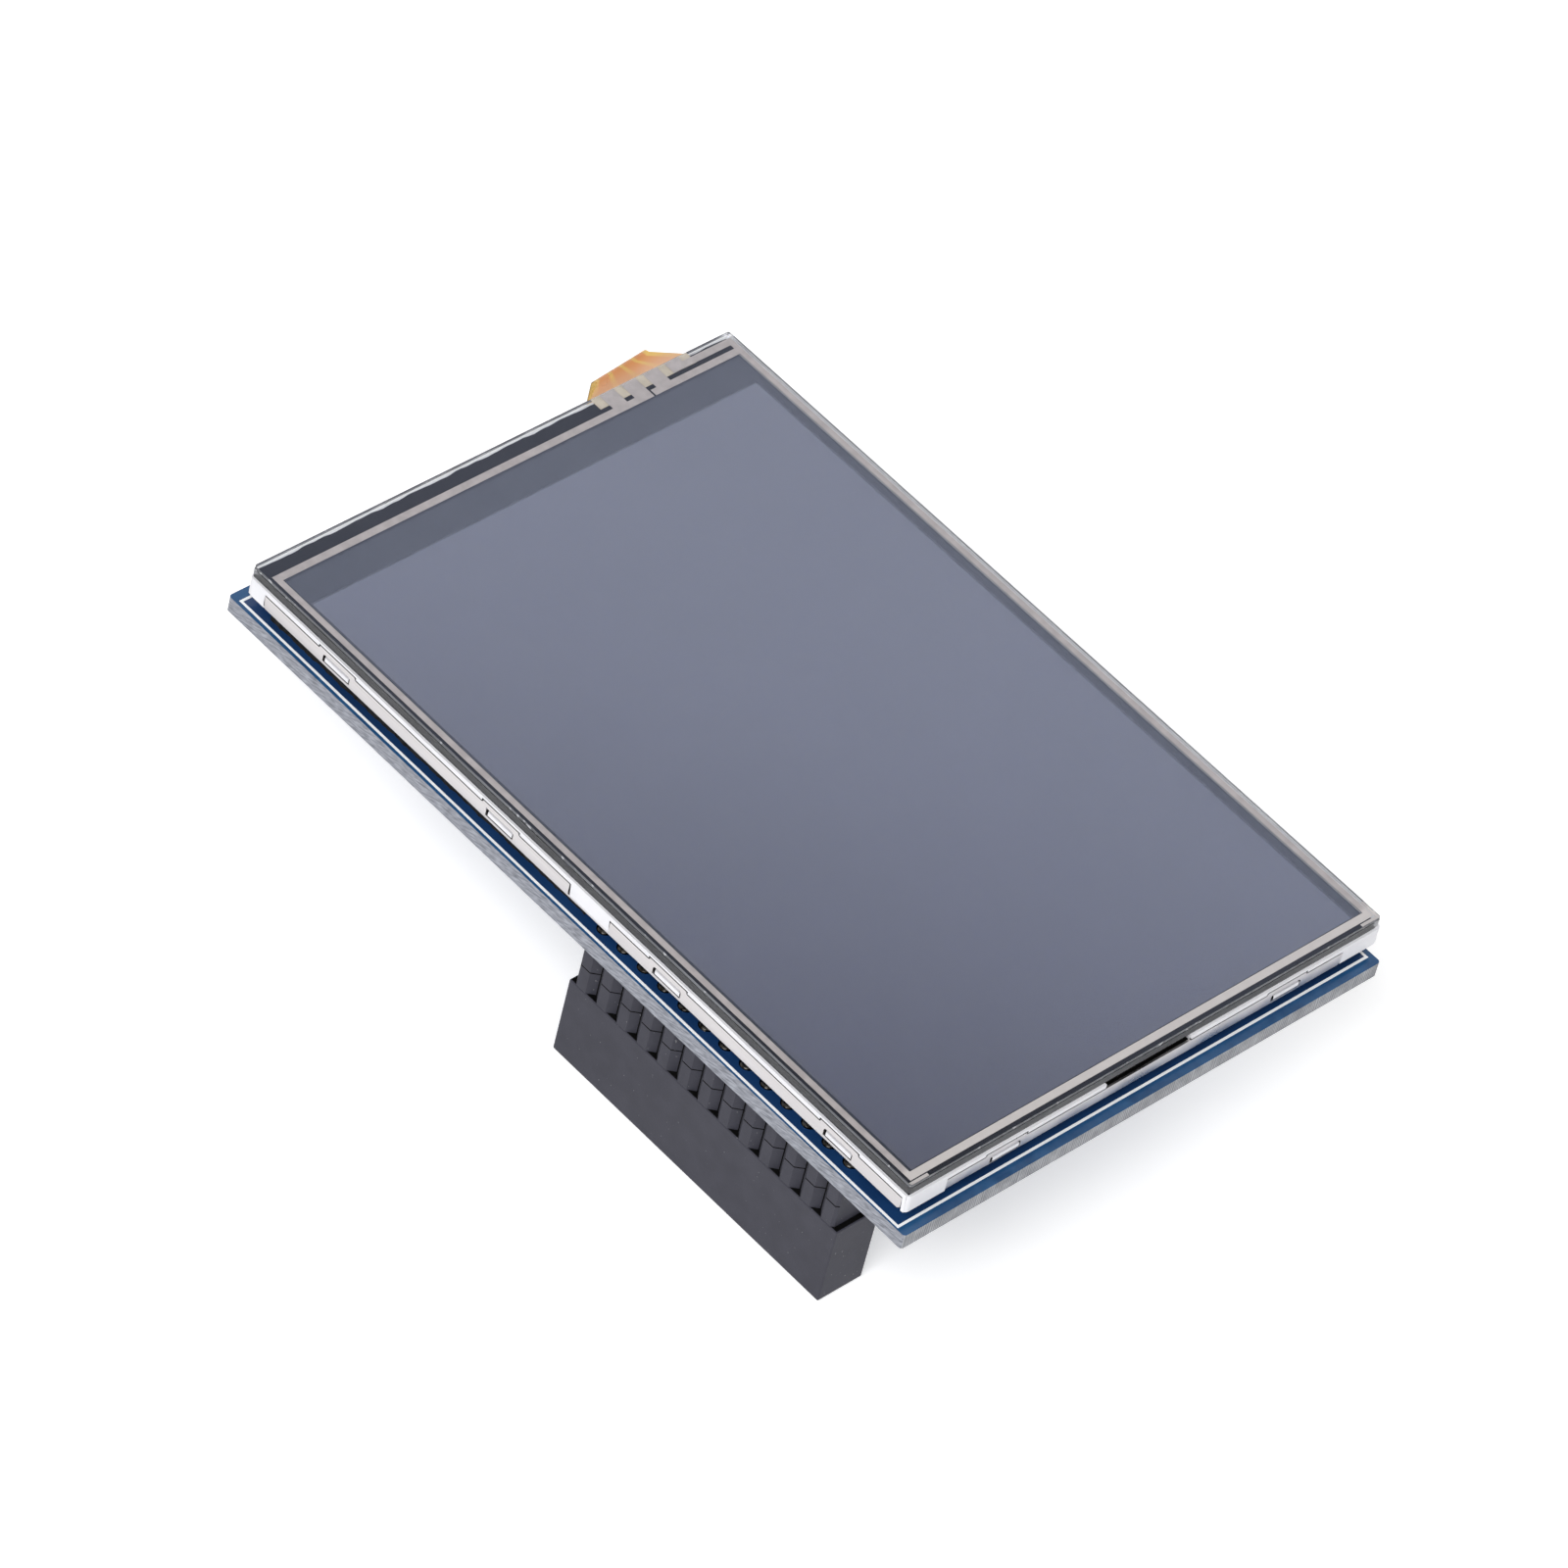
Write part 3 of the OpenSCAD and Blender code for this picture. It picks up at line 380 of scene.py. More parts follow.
@dataclass(frozen=True)
class RibbonFinish(Finish):
    """Amber film over copper tracks that fan in from a wide root to a narrow neck.

    Places and sizes are in metres: run gives X at the root and at the neck, middle and half
    give the tail's middle along Y and half its width at both. The step from track to track and
    the start of the bare margin are shares of half, and cover is the share of the tracks' colour.
    """

    track: Colour = (0.88, 0.38, 0.13)
    gap: Colour = (0.97, 0.68, 0.19)
    pale: Colour = (0.92, 0.6, 0.43)
    run: Span = (-0.06055, -0.0622)
    middle: Span = (0.04195, 0.04165)
    half: Span = (0.00565, 0.0033)
    step: float = 0.4513
    track_edge: Span = (0.28, 0.46)
    margin_from: float = 0.9
    pale_run: float = 0.0019
    pale_share: float = 0.85
    cover: Span = (0.9, 0.85)
    glow: float = 0.5

    def fill(self, recipe: Recipe) -> None:
        """Add the tracks and the paler root to the mottling.

        Args:
            recipe: Node tree to fill in.
        """
        super().fill(recipe)
        place = recipe.place()
        along, side = recipe.axis(place, "X"), recipe.axis(place, "Y")
        middle, half = (recipe.span(along, self.run, ends, "LINEAR") for ends in (self.middle, self.half))
        across = recipe.math("DIVIDE", recipe.math("SUBTRACT", side, middle), half)
        step = recipe.math("FRACT", recipe.math("DIVIDE", across, self.step))
        margin = recipe.math("GREATER_THAN", recipe.math("ABSOLUTE", across), self.margin_from)
        off = recipe.math("MAXIMUM", recipe.math("ABSOLUTE", recipe.math("SUBTRACT", step, 0.5)), margin)
        tracks = recipe.mix(recipe.span(off, self.track_edge), self.track, self.gap)
        root = recipe.span(along, (self.run[0] - self.pale_run, self.run[0]), (0.0, self.pale_share))
        recipe.overlay(recipe.span(off, (0.0, 0.5), self.cover), recipe.mix(root, tracks, self.pale))


@dataclass(frozen=True)
class ClearFinish(Surface):
    """Clear sheet: glass for the eye, open to the light that reaches what is under it."""

    tint: Colour
    mirror: Colour
    rough: Span
    index: float = 1.5
    passed: Colour = (0.97, 0.97, 0.97)
    haze: float = 0.0
    smudge: float = 0.012
    smudge_range: Span = (0.35, 0.65)

    def fill(self, recipe: Recipe) -> None:
        """Add smudged glass that is clear to shadow and diffuse rays.

        Args:
            recipe: Node tree to fill in.
        """
        smudge = recipe.noise(recipe.place(), self.smudge)
        rough = recipe.span(smudge, self.smudge_range, self.rough)
        recipe.set(
            recipe.shader, Base_Color=self.tint, Roughness=rough, Transmission_Weight=1.0 - self.haze,
            IOR=self.index, Specular_Tint=self.mirror,
        )
        opened = recipe.add("BsdfTransparent", Color=self.passed)
        path = recipe.add("LightPath").outputs
        lit = recipe.math("MAXIMUM", path["Is Shadow Ray"], path["Is Diffuse Ray"])
        recipe.blend(lit, recipe.shader.outputs["BSDF"], opened.outputs["BSDF"])


class Palette:
    """Finishes of the part."""

    MASK = Finish("solder_mask_blue", (0.008, 0.034, 0.11), (0.011, 0.047, 0.147), (0.16, 0.26), 0.006,
                  depth=0.000004, pit=0.0015)
    # Paler mask: painted light outside the white line, beyond the module's shade; under the board it is also
    # the colour of copper tracks under the mask
    MASK_PAINTED_LIGHT_AND_TRACKS = Finish("solder_mask_painted_light_and_tracks", (0.012, 0.062, 0.165), (0.02, 0.09, 0.22), (0.16, 0.26), 0.002,
                      depth=0.000004, pit=0.0015)
    LAMINATE_LONG = Finish("laminate_long_edge", (0.145, 0.153, 0.18), (0.355, 0.37, 0.42), (0.45, 0.65),
                           0.00017, Grain.FIBRE, climb=12.0, depth=0.00002, pit=0.00012)
    LAMINATE_SHORT = RibbedFinish("laminate_milled_edge", (0.27, 0.28, 0.3), (0.42, 0.43, 0.46),
                                  (0.45, 0.65), 0.001, groove=(0.09, 0.095, 0.11))
    PLATING = Finish("plated_hole", (0.5, 0.45, 0.35), (0.7, 0.66, 0.55), (0.25, 0.4), 0.001, metal=1.0)
    SILK = Finish("silk_print", (0.94, 0.95, 0.97), (0.98, 0.99, 1.0), (0.5, 0.65), 0.0008,
                  depth=0.000005, pit=0.0002)
    PLASTIC = SpeckledFinish("socket_plastic", (0.042, 0.042, 0.056), (0.049, 0.049, 0.065), (0.52, 0.58),
                             0.002, shine=0.25, depth=0.000008, pit=0.00025, speck=(0.2, 0.2, 0.21),
                             speck_size=0.00028, speck_from=0.73)
    # Painted shade: near-black laid on the socket's crevices and grooves, and on the frame behind the pan's
    # walls and on its notch floor
    SHADE = Finish("painted_crevice_shade", (0.001, 0.001, 0.001), (0.004, 0.004, 0.004), (0.8, 0.95), 0.001,
                   shine=0.1)
    CONTACT = Finish("contact_gold", (0.72, 0.52, 0.22), (0.86, 0.68, 0.36), (0.2, 0.35), 0.001, metal=1.0)
    # Solder domes, near black: flux-dulled solder, with painted shade for the dark module underside that
    # they reflect
    SOLDER = Finish("solder_joint", (0.006, 0.005, 0.004), (0.06, 0.056, 0.05), (0.1, 0.24), 0.0004,
                    metal=1.0, depth=0.00003, pit=0.0004)
    STEEL = Finish("shield_steel", (0.78, 0.75, 0.755), (0.88, 0.85, 0.855), (0.26, 0.4), 0.0016,
                   Grain.ALONG_X, metal=1.0, depth=0.0000006, pit=0.0002)
    FRAME = Finish("frame_white", (0.76, 0.76, 0.795), (0.82, 0.82, 0.85), (0.38, 0.5), 0.004,
                   depth=0.000003, pit=0.0003)
    FOAM = Finish("foam_black", (0.006, 0.006, 0.006), (0.02, 0.02, 0.021), (0.8, 0.95), 0.0005, shine=0.2,
                  depth=0.00008, pit=0.0002)
    GASKET = Finish("gasket_black", (0.008, 0.008, 0.01), (0.014, 0.014, 0.017), (0.6, 0.8), 0.004,
                    shine=0.2, depth=0.000004, pit=0.0004)
    POLARIZER = Finish("polarizer_haze", (0.007, 0.008, 0.044), (0.011, 0.012, 0.054), (0.28, 0.34), 0.02,
                       shine=0.95, index=1.68)
    CELL = Finish("cell_glass", (0.004, 0.004, 0.005), (0.008, 0.008, 0.01), (0.4, 0.6), 0.02, shine=0.1)
    # Silver paste, with painted light: paler at the near end
    SILVER = PaintedLitEndFinish("silver_paste", (0.44, 0.4, 0.395), (0.53, 0.485, 0.48), (0.4, 0.55), 0.0009,
                         metal=0.25, depth=0.000004, pit=0.00012)
    COPPER = Finish("finger_copper", (0.6, 0.42, 0.26), (0.74, 0.55, 0.36), (0.3, 0.45), 0.0008, metal=0.8)
    AMBER = RibbonFinish("tail_amber", (0.7, 0.36, 0.05), (0.86, 0.52, 0.1), (0.2, 0.34), 0.002,
                         depth=0.000004, pit=0.0006)
    # Painted light: a lighter copy of the amber film for the tail's standing faces, which lie in shade
    FOLD_PAINTED_LIGHT = Finish("tail_fold_painted_light", (0.95, 0.62, 0.2), (0.98, 0.72, 0.28), (0.2, 0.3), 0.001, glow=0.95)
    FLEX = Finish("ribbon_amber", (0.55, 0.27, 0.05), (0.7, 0.4, 0.1), (0.2, 0.34), 0.002,
                  depth=0.000004, pit=0.0006)
    ROOT_FILM = Finish("bonded_tail", (0.5, 0.44, 0.345), (0.61, 0.54, 0.44), (0.35, 0.5), 0.0012)
    CHIP = SpeckledFinish("chip_plastic", (0.018, 0.018, 0.02), (0.032, 0.032, 0.035), (0.45, 0.6), 0.0015,
                          depth=0.000012, pit=0.00012, speck=(0.1, 0.1, 0.1), speck_size=0.0002)
    TIN = Finish("tinned_lead", (0.62, 0.62, 0.63), (0.8, 0.8, 0.8), (0.25, 0.4), 0.0008, metal=1.0)
    CERAMIC = Finish("capacitor_ceramic", (0.38, 0.25, 0.14), (0.52, 0.37, 0.22), (0.45, 0.6), 0.0005)
    GLAZE = Finish("resistor_glaze", (0.008, 0.008, 0.01), (0.02, 0.02, 0.024), (0.2, 0.3), 0.0005)
    WHITE_FILM = Finish("white_film", (0.85, 0.85, 0.86), (0.92, 0.92, 0.93), (0.4, 0.5), 0.01)
    LAMP = Finish("lamp_phosphor", (0.75, 0.68, 0.35), (0.9, 0.85, 0.55), (0.4, 0.5), 0.0008)
    SILICON = Finish("driver_silicon", (0.1, 0.1, 0.12), (0.18, 0.18, 0.21), (0.12, 0.2), 0.001, metal=0.6)
    PANEL = ClearFinish("panel_clear", (0.97, 0.98, 0.99), (0.57, 0.66, 1.0), (0.0, 0.03), 1.56)
    GROUND_EDGE = ClearFinish("panel_ground_edge", (0.8, 0.81, 0.88), WHITE, (0.35, 0.6), 1.52, haze=0.04)
    # Painted light: a paler, hazier copy of the ground edge for the glass's +Y side
    EDGE_PAINTED_LIGHT = ClearFinish("panel_edge_painted_light", (0.95, 0.96, 0.97), WHITE, (0.35, 0.6), 1.52, haze=0.6)
    CLEAR_EDGE = ClearFinish("film_clear_edge", (0.9, 0.92, 0.94), WHITE, (0.3, 0.5), 1.55)
    FILM_EDGE = SpeckledFinish("film_cut_edge", (0.07, 0.074, 0.083), (0.17, 0.178, 0.193), (0.3, 0.5),
                               0.0004, Grain.ALONG_X, speck=(0.5, 0.51, 0.53), speck_size=0.0007,
                               speck_from=0.66)


@dataclass(frozen=True)
class Ripple:
    """Uneven line: a plain wave and the product of two, with their turns in radians per millimetre."""

    plain_share: float
    plain: float
    first: float
    second: float
    lag: float = 1.0

    def at(self, place: float) -> float:
        """Give the line's height at a place along it."""
        plain = self.plain_share * math.sin(place * self.plain)
        return plain + math.sin(place * self.first + self.lag) * math.sin(place * self.second)


def centre(face: Face) -> Vector:
    """Give the middle of a face."""
    return face.calc_center_median()


def stands(face: Face) -> bool:
    """Say if a face stands upright."""
    return abs(face.normal.z) < SLOPE


def looks_up(face: Face) -> bool:
    """Say if a face looks up."""
    return face.normal.z > SLOPE


def inset(point: Vector, low: Vector, high: Vector) -> Flat:
    """Give how far a point lies inside a box, along X and along Y, from the nearer of two sides."""
    return min(point.x - low.x, high.x - point.x), min(point.y - low.y, high.y - point.y)


def grown(low: Sequence[float], high: Sequence[float], by: float) -> Corners:
    """Give the corners of a rectangle in plan, moved outwards on all sides."""
    return (low[0] - by, low[1] - by), (high[0] + by, high[1] + by)


def node_box(node: str) -> tuple[Vector, Vector]:
    """Give the lowest and highest corner of a CAD node in millimetres."""
    low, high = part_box(node)
    return low / MM, high / MM


def add_object(name: str, data: bpy.types.ID) -> bpy.types.Object:
    """Put a new object in the scene."""
    thing = bpy.data.objects.new(name, data)
    bpy.context.scene.collection.objects.link(thing)
    return thing


class Workpiece:
    """A mesh in the making, with the finishes that its faces wear.

    Lengths are in millimetres and angles in degrees: points closer than merge are joined,
    faces that meet at less than flat become one, and an edge is creased from crease on.
    """

    nodes: dict[str, bpy.types.Object] = {}
    merge: float = 0.0005
    cut_merge: float = 0.0001
    flat: float = 1.0
    crease: float = 20.0
    corner_steps: int = 4

    def __init__(self, name: str, *finishes: Surface) -> None:
        """Start an empty mesh.

        Args:
            name: Name of the finished piece.
            finishes: Finishes that it wears, first that of faces with no other.
        """
        self.name = name
        self.finishes = finishes
        self.bm = bmesh.new()

    @classmethod
    def of_node(cls, name: str, node: str, *finishes: Surface) -> Workpiece:
        """Start from a copy of a CAD node, merged and with its flat faces joined.

        Args:
            name: Name of the finished piece.
            node: Name of the CAD node.
            finishes: Finishes that it wears, first that of faces with no other.

        Returns:
            The new workpiece.
        """
        piece = cls(name, *finishes)
        bm = piece.bm
        bm.from_mesh(cls.nodes[node].data)
        for face in bm.faces:
            face.material_index = 0
            face.smooth = False
        bmesh.ops.scale(bm, vec=(1 / MM,) * 3, verts=bm.verts)
        bmesh.ops.remove_doubles(bm, verts=bm.verts, dist=cls.merge)
        bmesh.ops.dissolve_limit(bm, angle_limit=math.radians(cls.flat), verts=bm.verts, edges=bm.edges)
        return piece

    def wear(self, finish: Surface, test: Callable[[Face], bool]) -> None:
        """Give one of the finishes to the faces that pass a test."""
        for face in filter(test, self.bm.faces):
            face.material_index = self.finishes.index(finish)

    def fit(self, verts: list[Vert], corners: Corners, z: Span) -> list[Vert]:
        """Stretch a new unit shape to corners in plan and two heights.

        Args:
            verts: Vertices of the shape.
            corners: Its corners in plan.
            z: Heights of its underside and top.

        Returns:
            The vertices.
        """
        low, high = (Vector((*corner, height)) for corner, height in zip(corners, z))
        bmesh.ops.scale(self.bm, vec=high - low, verts=verts)
        bmesh.ops.translate(self.bm, vec=(low + high) / 2, verts=verts)
        return verts

    def slab(self, corners: Corners, z: Span) -> list[Vert]:
        """Add a box between two heights and give its vertices."""
        return self.fit(bmesh.ops.create_cube(self.bm, size=1.0)["verts"], corners, z)

    def disc(self, at: Flat, z: Span, radii: Span, sides: int) -> None:
        """Add a disc, by its middle in plan and the heights and radii of its underside and top."""
        bmesh.ops.create_cone(
            self.bm, cap_ends=True, segments=sides, radius1=radii[0], radius2=radii[1],
            depth=z[1] - z[0], matrix=Matrix.Translation((*at, sum(z) / 2)),
        )

    def sheet(self, corners: Corners, z: float, radius: float = 0.0) -> Face:
        """Add a flat rectangle that looks up.

        Args:
            corners: Its corners in plan.
            z: Height.
            radius: Radius of its corners.

        Returns:
            Its face.
        """
        grid = bmesh.ops.create_grid(self.bm, x_segments=1, y_segments=1, size=0.5)
        verts = self.fit(grid["verts"], corners, (z, z))
        face = verts[0].link_faces[0]
        if radius:
            self.ease(radius, verts, self.corner_steps, "VERTICES")
            level = [face for face in self.bm.faces if abs(centre(face).z - z) < NEAR]
            face = max(level, key=lambda face: face.calc_area())
        return face

    def raise_face(self, face: Face, height: float) -> Face:
        """Extrude a face upwards.

        Args:
            face: Face to extrude.
            height: Height of the new walls.

        Returns:
            The face on top of them.
        """
        made = bmesh.ops.extrude_face_region(self.bm, geom=[face])["geom"]
        verts = [part for part in made if isinstance(part, Vert)]
        bmesh.ops.translate(self.bm, vec=(0, 0, height), verts=verts)
        if face.is_valid and all(len(edge.link_faces) > 2 for edge in face.edges):
            bmesh.ops.delete(self.bm, geom=[face], context="FACES_ONLY")
        return next(part for part in made if isinstance(part, Face))

    def ring(self, outer: Corners, inner: Corners, z: Span) -> None:
        """Add a flat rectangular ring.

        Args:
            outer: Corners of its outside.
            inner: Corners of its opening.
            z: Heights of its underside and top.
        """
        faces = [self.sheet(outer, z[0]), self.sheet(inner, z[0])]
        edges = [edge for face in faces for edge in face.edges]
        bmesh.ops.delete(self.bm, geom=faces, context="FACES_ONLY")
        flat = bmesh.ops.bridge_loops(self.bm, edges=edges)["faces"]
        made = bmesh.ops.extrude_face_region(self.bm, geom=flat, use_keep_orig=True)["geom"]
        verts = [part for part in made if isinstance(part, Vert)]
        bmesh.ops.translate(self.bm, vec=(0, 0, z[1] - z[0]), verts=verts)
        bmesh.ops.recalc_face_normals(self.bm, faces=self.bm.faces)

    def cut(self, at: Sequence[float], way: Sequence[float]) -> None:
        """Cut the faces in two along a plane through a place, and keep both sides."""
        geom = [*self.bm.verts, *self.bm.edges, *self.bm.faces]
        bmesh.ops.bisect_plane(self.bm, geom=geom, dist=self.cut_merge, plane_co=at, plane_no=way)

    def fray(self, axis: int, at: float, cuts: int, offset: Callable[[float], float]) -> None:
        """Turn a straight side into an uneven one.

        Args:
            axis: Number of the axis that the side faces along, X or Y.
            at: Place of the side along that axis.
            cuts: Number of points added along each of its edges.
            offset: Gives how far the side moves at a place along it.
        """
        def on_side(point: Vector) -> bool:
            """Say if a point lies on the side."""
            return abs(point[axis] - at) < NEAR

        edges = self.edges_where(lambda middle, run: run[1 - axis] > EXACT and on_side(middle))
        bmesh.ops.subdivide_edges(self.bm, edges=edges, cuts=cuts)
        for vert in self.bm.verts:
            if on_side(vert.co):
                vert.co[axis] += offset(vert.co[1 - axis])

    def edges_where(self, test: Callable[[Vector, Vector], bool]) -> list[Edge]:
        """Pick creased edges.

        Args:
            test: Takes an edge's middle and its direction as positive shares of X, Y and Z.

        Returns:
            The creased edges that pass.
        """
        picked = []
        for edge in self.bm.edges:
            if len(edge.link_faces) != 2 or edge.calc_face_angle(0) < math.radians(self.crease):
                continue
            first, second = (vert.co for vert in edge.verts)
            run = (second - first).normalized()
            if test((first + second) / 2, Vector(map(abs, run))):
                picked.append(edge)
        return picked

    def ease(self, width: float, parts: list[Vert | Edge], steps: int = 2, affect: str = "EDGES") -> None:
        """Round edges, or corners if they are what Blender's name in affect says."""
        bmesh.ops.bevel(
            self.bm, geom=parts, offset=width, offset_type="OFFSET", segments=steps, profile=0.5,
            affect=affect, clamp_overlap=True, material=-1,
        )

    def done(self, slot: str, *replaced: str, smooth: float = 0.0) -> None:
        """Finish the piece and hang it on the part.

        Args:
            slot: Not used.
            replaced: CAD nodes that it stands for.
            smooth: Angle in degrees under which edges are shaded smooth, if any.
        """
        bmesh.ops.remove_doubles(self.bm, verts=self.bm.verts, dist=self.merge)
        bmesh.ops.scale(self.bm, vec=(MM,) * 3, verts=self.bm.verts)
        mesh = bpy.data.meshes.new(self.name)
        self.bm.to_mesh(mesh)
        self.bm.free()
        for finish in self.finishes:
            mesh.materials.append(finish.material())
        if smooth:
            mesh.shade_smooth()
            mesh.set_sharp_from_angle(angle=math.radians(smooth))
        piece = add_object(self.name, mesh)
        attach(piece, ROOT)
        if replaced:
            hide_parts(*replaced)
        log.info("%s: %d faces", self.name, len(mesh.polygons))


def dress(finish: Surface, *nodes: str) -> None:
    """Give CAD nodes their finish.

    Args:
        finish: Finish for all their faces.
        nodes: Names of the nodes.
    """
    for node in nodes:
        thing = Workpiece.nodes[node]
        if not thing.material_slots:
            thing.data.materials.append(None)
        for slot in thing.material_slots:
            slot.material = finish.material()
        log.info("%s: dressed in %s", node, finish.name)


@dataclass
class CircuitBoard:
    """Blue board with glass fibre on its cut edges, a white line on its face and lands under it."""

    corner: float = 0.35
    solid_corner: float = 0.8
    rim: float = 0.5
    silk_width: float = 0.25
    silk_inset: Flat = (0.97, 0.36)
    silk_skew: float = 0.2
    silk_thick: float = 0.02
    land_radii: Span = (0.93, 0.98)
    land_thick: float = 0.03
    land_sides: int = 24

    def build(self) -> None:
        """Build the board, what is printed on it and the lands."""
        self.low, self.high = node_box("circuit_board")
        self.build_laminate()
        self.build_print()
        self.build_lands()

    def build_laminate(self) -> None:
        """Build the board itself, with painted light: the mask is paler outside the white line, beyond the
        module's shade.
        """
        piece = Workpiece.of_node(
            "board_laminate", "circuit_board", Palette.MASK, Palette.LAMINATE_LONG,
            Palette.LAMINATE_SHORT, Palette.PLATING, Palette.MASK_PAINTED_LIGHT_AND_TRACKS,
        )
        self.tighten_corners(piece)
        low, high = self.low, self.high
        margin = Vector(self.silk_inset) + Vector((self.silk_width, self.silk_width)) / 2
        for corner, way in ((low.xy + margin, -1), (high.xy - margin, 1)):
            piece.cut((*corner, 0), (way, 0, 0))
            piece.cut((*corner, 0), (0, way, 0))

        def at_rim(face: Face) -> bool:
            """Say if a face stands on the board's outline."""
            return stands(face) and min(inset(centre(face), low, high)) < self.rim

        def in_painted_light_margin(face: Face) -> bool:
            """Say if a face looks up between the white line and the board's edge, where the mask is painted
            lighter.
            """
            ends, sides = inset(centre(face), low, high)
            return looks_up(face) and (ends < margin.x or sides < margin.y)

        piece.wear(Palette.PLATING, stands)
        piece.wear(Palette.LAMINATE_SHORT, at_rim)
        piece.wear(
            Palette.LAMINATE_LONG, lambda face: at_rim(face) and abs(face.normal.y) >= abs(face.normal.x)
        )
        # Painted light: the margin outside the white line is paler
        piece.wear(Palette.MASK_PAINTED_LIGHT_AND_TRACKS, in_painted_light_margin)
        piece.done("solder_mask", "circuit_board")

    def tighten_corners(self, piece: Workpiece) -> None:
        """Draw the rounded corners out to a smaller radius.

        Args:
            piece: Copy of the board.
        """
        for x, way_x in ((self.low.x, -1), (self.high.x, 1)):
            for y, way_y in ((self.low.y, -1), (self.high.y, 1)):
                tip, inward = Vector((x, y)), Vector((-way_x, -way_y))
                for vert in piece.bm.verts:
                    off = vert.co.xy - tip - inward * self.solid_corner
                    if min(off.x * way_x, off.y * way_y) > -NEAR:
                        vert.co.xy = tip + inward * self.corner + off * (self.corner / self.solid_corner)

    def build_print(self) -> None:
        """Build the white line round the board's face."""
        piece = Workpiece("board_print", Palette.SILK)
        margin = Vector(self.silk_inset)
        low, high = self.low.xy + margin, self.high.xy - margin
        layer = (self.high.z, self.high.z + self.silk_thick)
        piece.ring((low[:], high[:]), grown(low, high, -self.silk_width), layer)
        for vert in piece.bm.verts:
            vert.co.y -= self.silk_skew * (vert.co.x - low.x) / (high.x - low.x)
        piece.done("solder_mask")

    def build_lands(self) -> None:
        """Build the tinned land round each contact, under the board."""
        piece = Workpiece("joint_lands", Palette.TIN)
        layer = (self.low.z - self.land_thick, self.low.z)
        for x in COLUMN_X:
            for y in ROW_Y:
                piece.disc((x, y), layer, self.land_radii, self.land_sides)
        piece.done("solder")


@dataclass
class PinSocket:
    """Socket block, the two spacer strips over it, the contacts and the joints.

    On a strip, rims up to rim_reach from a long side are rounded, and the grooves between
    its cells lie within groove_reach of a long side.
    """

    block_edge: float = 0.12
    strip_edge: float = 0.06
    rim_reach: float = 0.76
    groove: float = 0.1
    groove_reach: Span = (0.3, 0.9)
    shaded_slope: Span = (0.2, 0.95)
    joint_smooth: float = 50.0

    def build(self) -> None:
        """Build the socket's pieces."""
        self.build_block()
        for side in ("lower", "upper"):
            self.build_strip(f"spacer_{side}", f"spacer_strip_{side}")
        joints = Workpiece.of_node("solder_domes", "solder_joints", Palette.SOLDER)
        joints.done("solder", "solder_joints", smooth=self.joint_smooth)
        dress(Palette.CONTACT, "socket_contacts")

    def build_block(self) -> None:
        """Build the block, with painted shade on the face under the strips."""
        piece = Workpiece.of_node("socket_block", "socket_body", Palette.PLASTIC, Palette.SHADE)
        low, high = node_box("socket_body")
        outer = piece.edges_where(lambda middle, run: min(inset(middle, low, high)) < NEAR)
        piece.ease(self.block_edge, outer)
        # Painted shade on the block's top face, under the strips
        piece.wear(Palette.SHADE, lambda face: looks_up(face) and centre(face).z > high.z - NEAR)
        piece.done("socket_plastic", "socket_body")

    def build_strip(self, name: str, node: str) -> None:
        """Build a spacer strip, with painted shade in its grooves and on the slopes of its rims.

        Args:
            name: Name of the piece.
            node: Name of its CAD node.
        """
        piece = Workpiece.of_node(name, node, Palette.PLASTIC, Palette.SHADE)
        low, high = node_box(node)

        def from_side(point: Vector) -> float:
            """Give how far a point lies from the nearer long side."""
            return inset(point, low, high)[1]

        rims = piece.edges_where(
            lambda middle, run: run.z < ACROSS and min(middle.z - low.z, high.z - middle.z) < NEAR
            and from_side(middle) < self.rim_reach
        )
        piece.ease(self.strip_edge, rims, 1)
        start, end = self.groove_reach
        grooves = piece.edges_where(
            lambda middle, run: run.z > EXACT and start < from_side(middle) < end
        )
        piece.ease(self.groove, [edge for edge in grooves if edge.calc_face_angle_signed(0) < 0], 1)
        # Painted shade: near-black on the rims' slopes and in the grooves
        least, most = self.shaded_slope
        piece.wear(Palette.SHADE, lambda face: least < abs(face.normal.z) < most)
        piece.wear(
            Palette.SHADE,
            lambda face: abs(face.normal.y) > ALONG and self.groove < from_side(centre(face)) < end,
        )
        piece.done("socket_plastic", node)


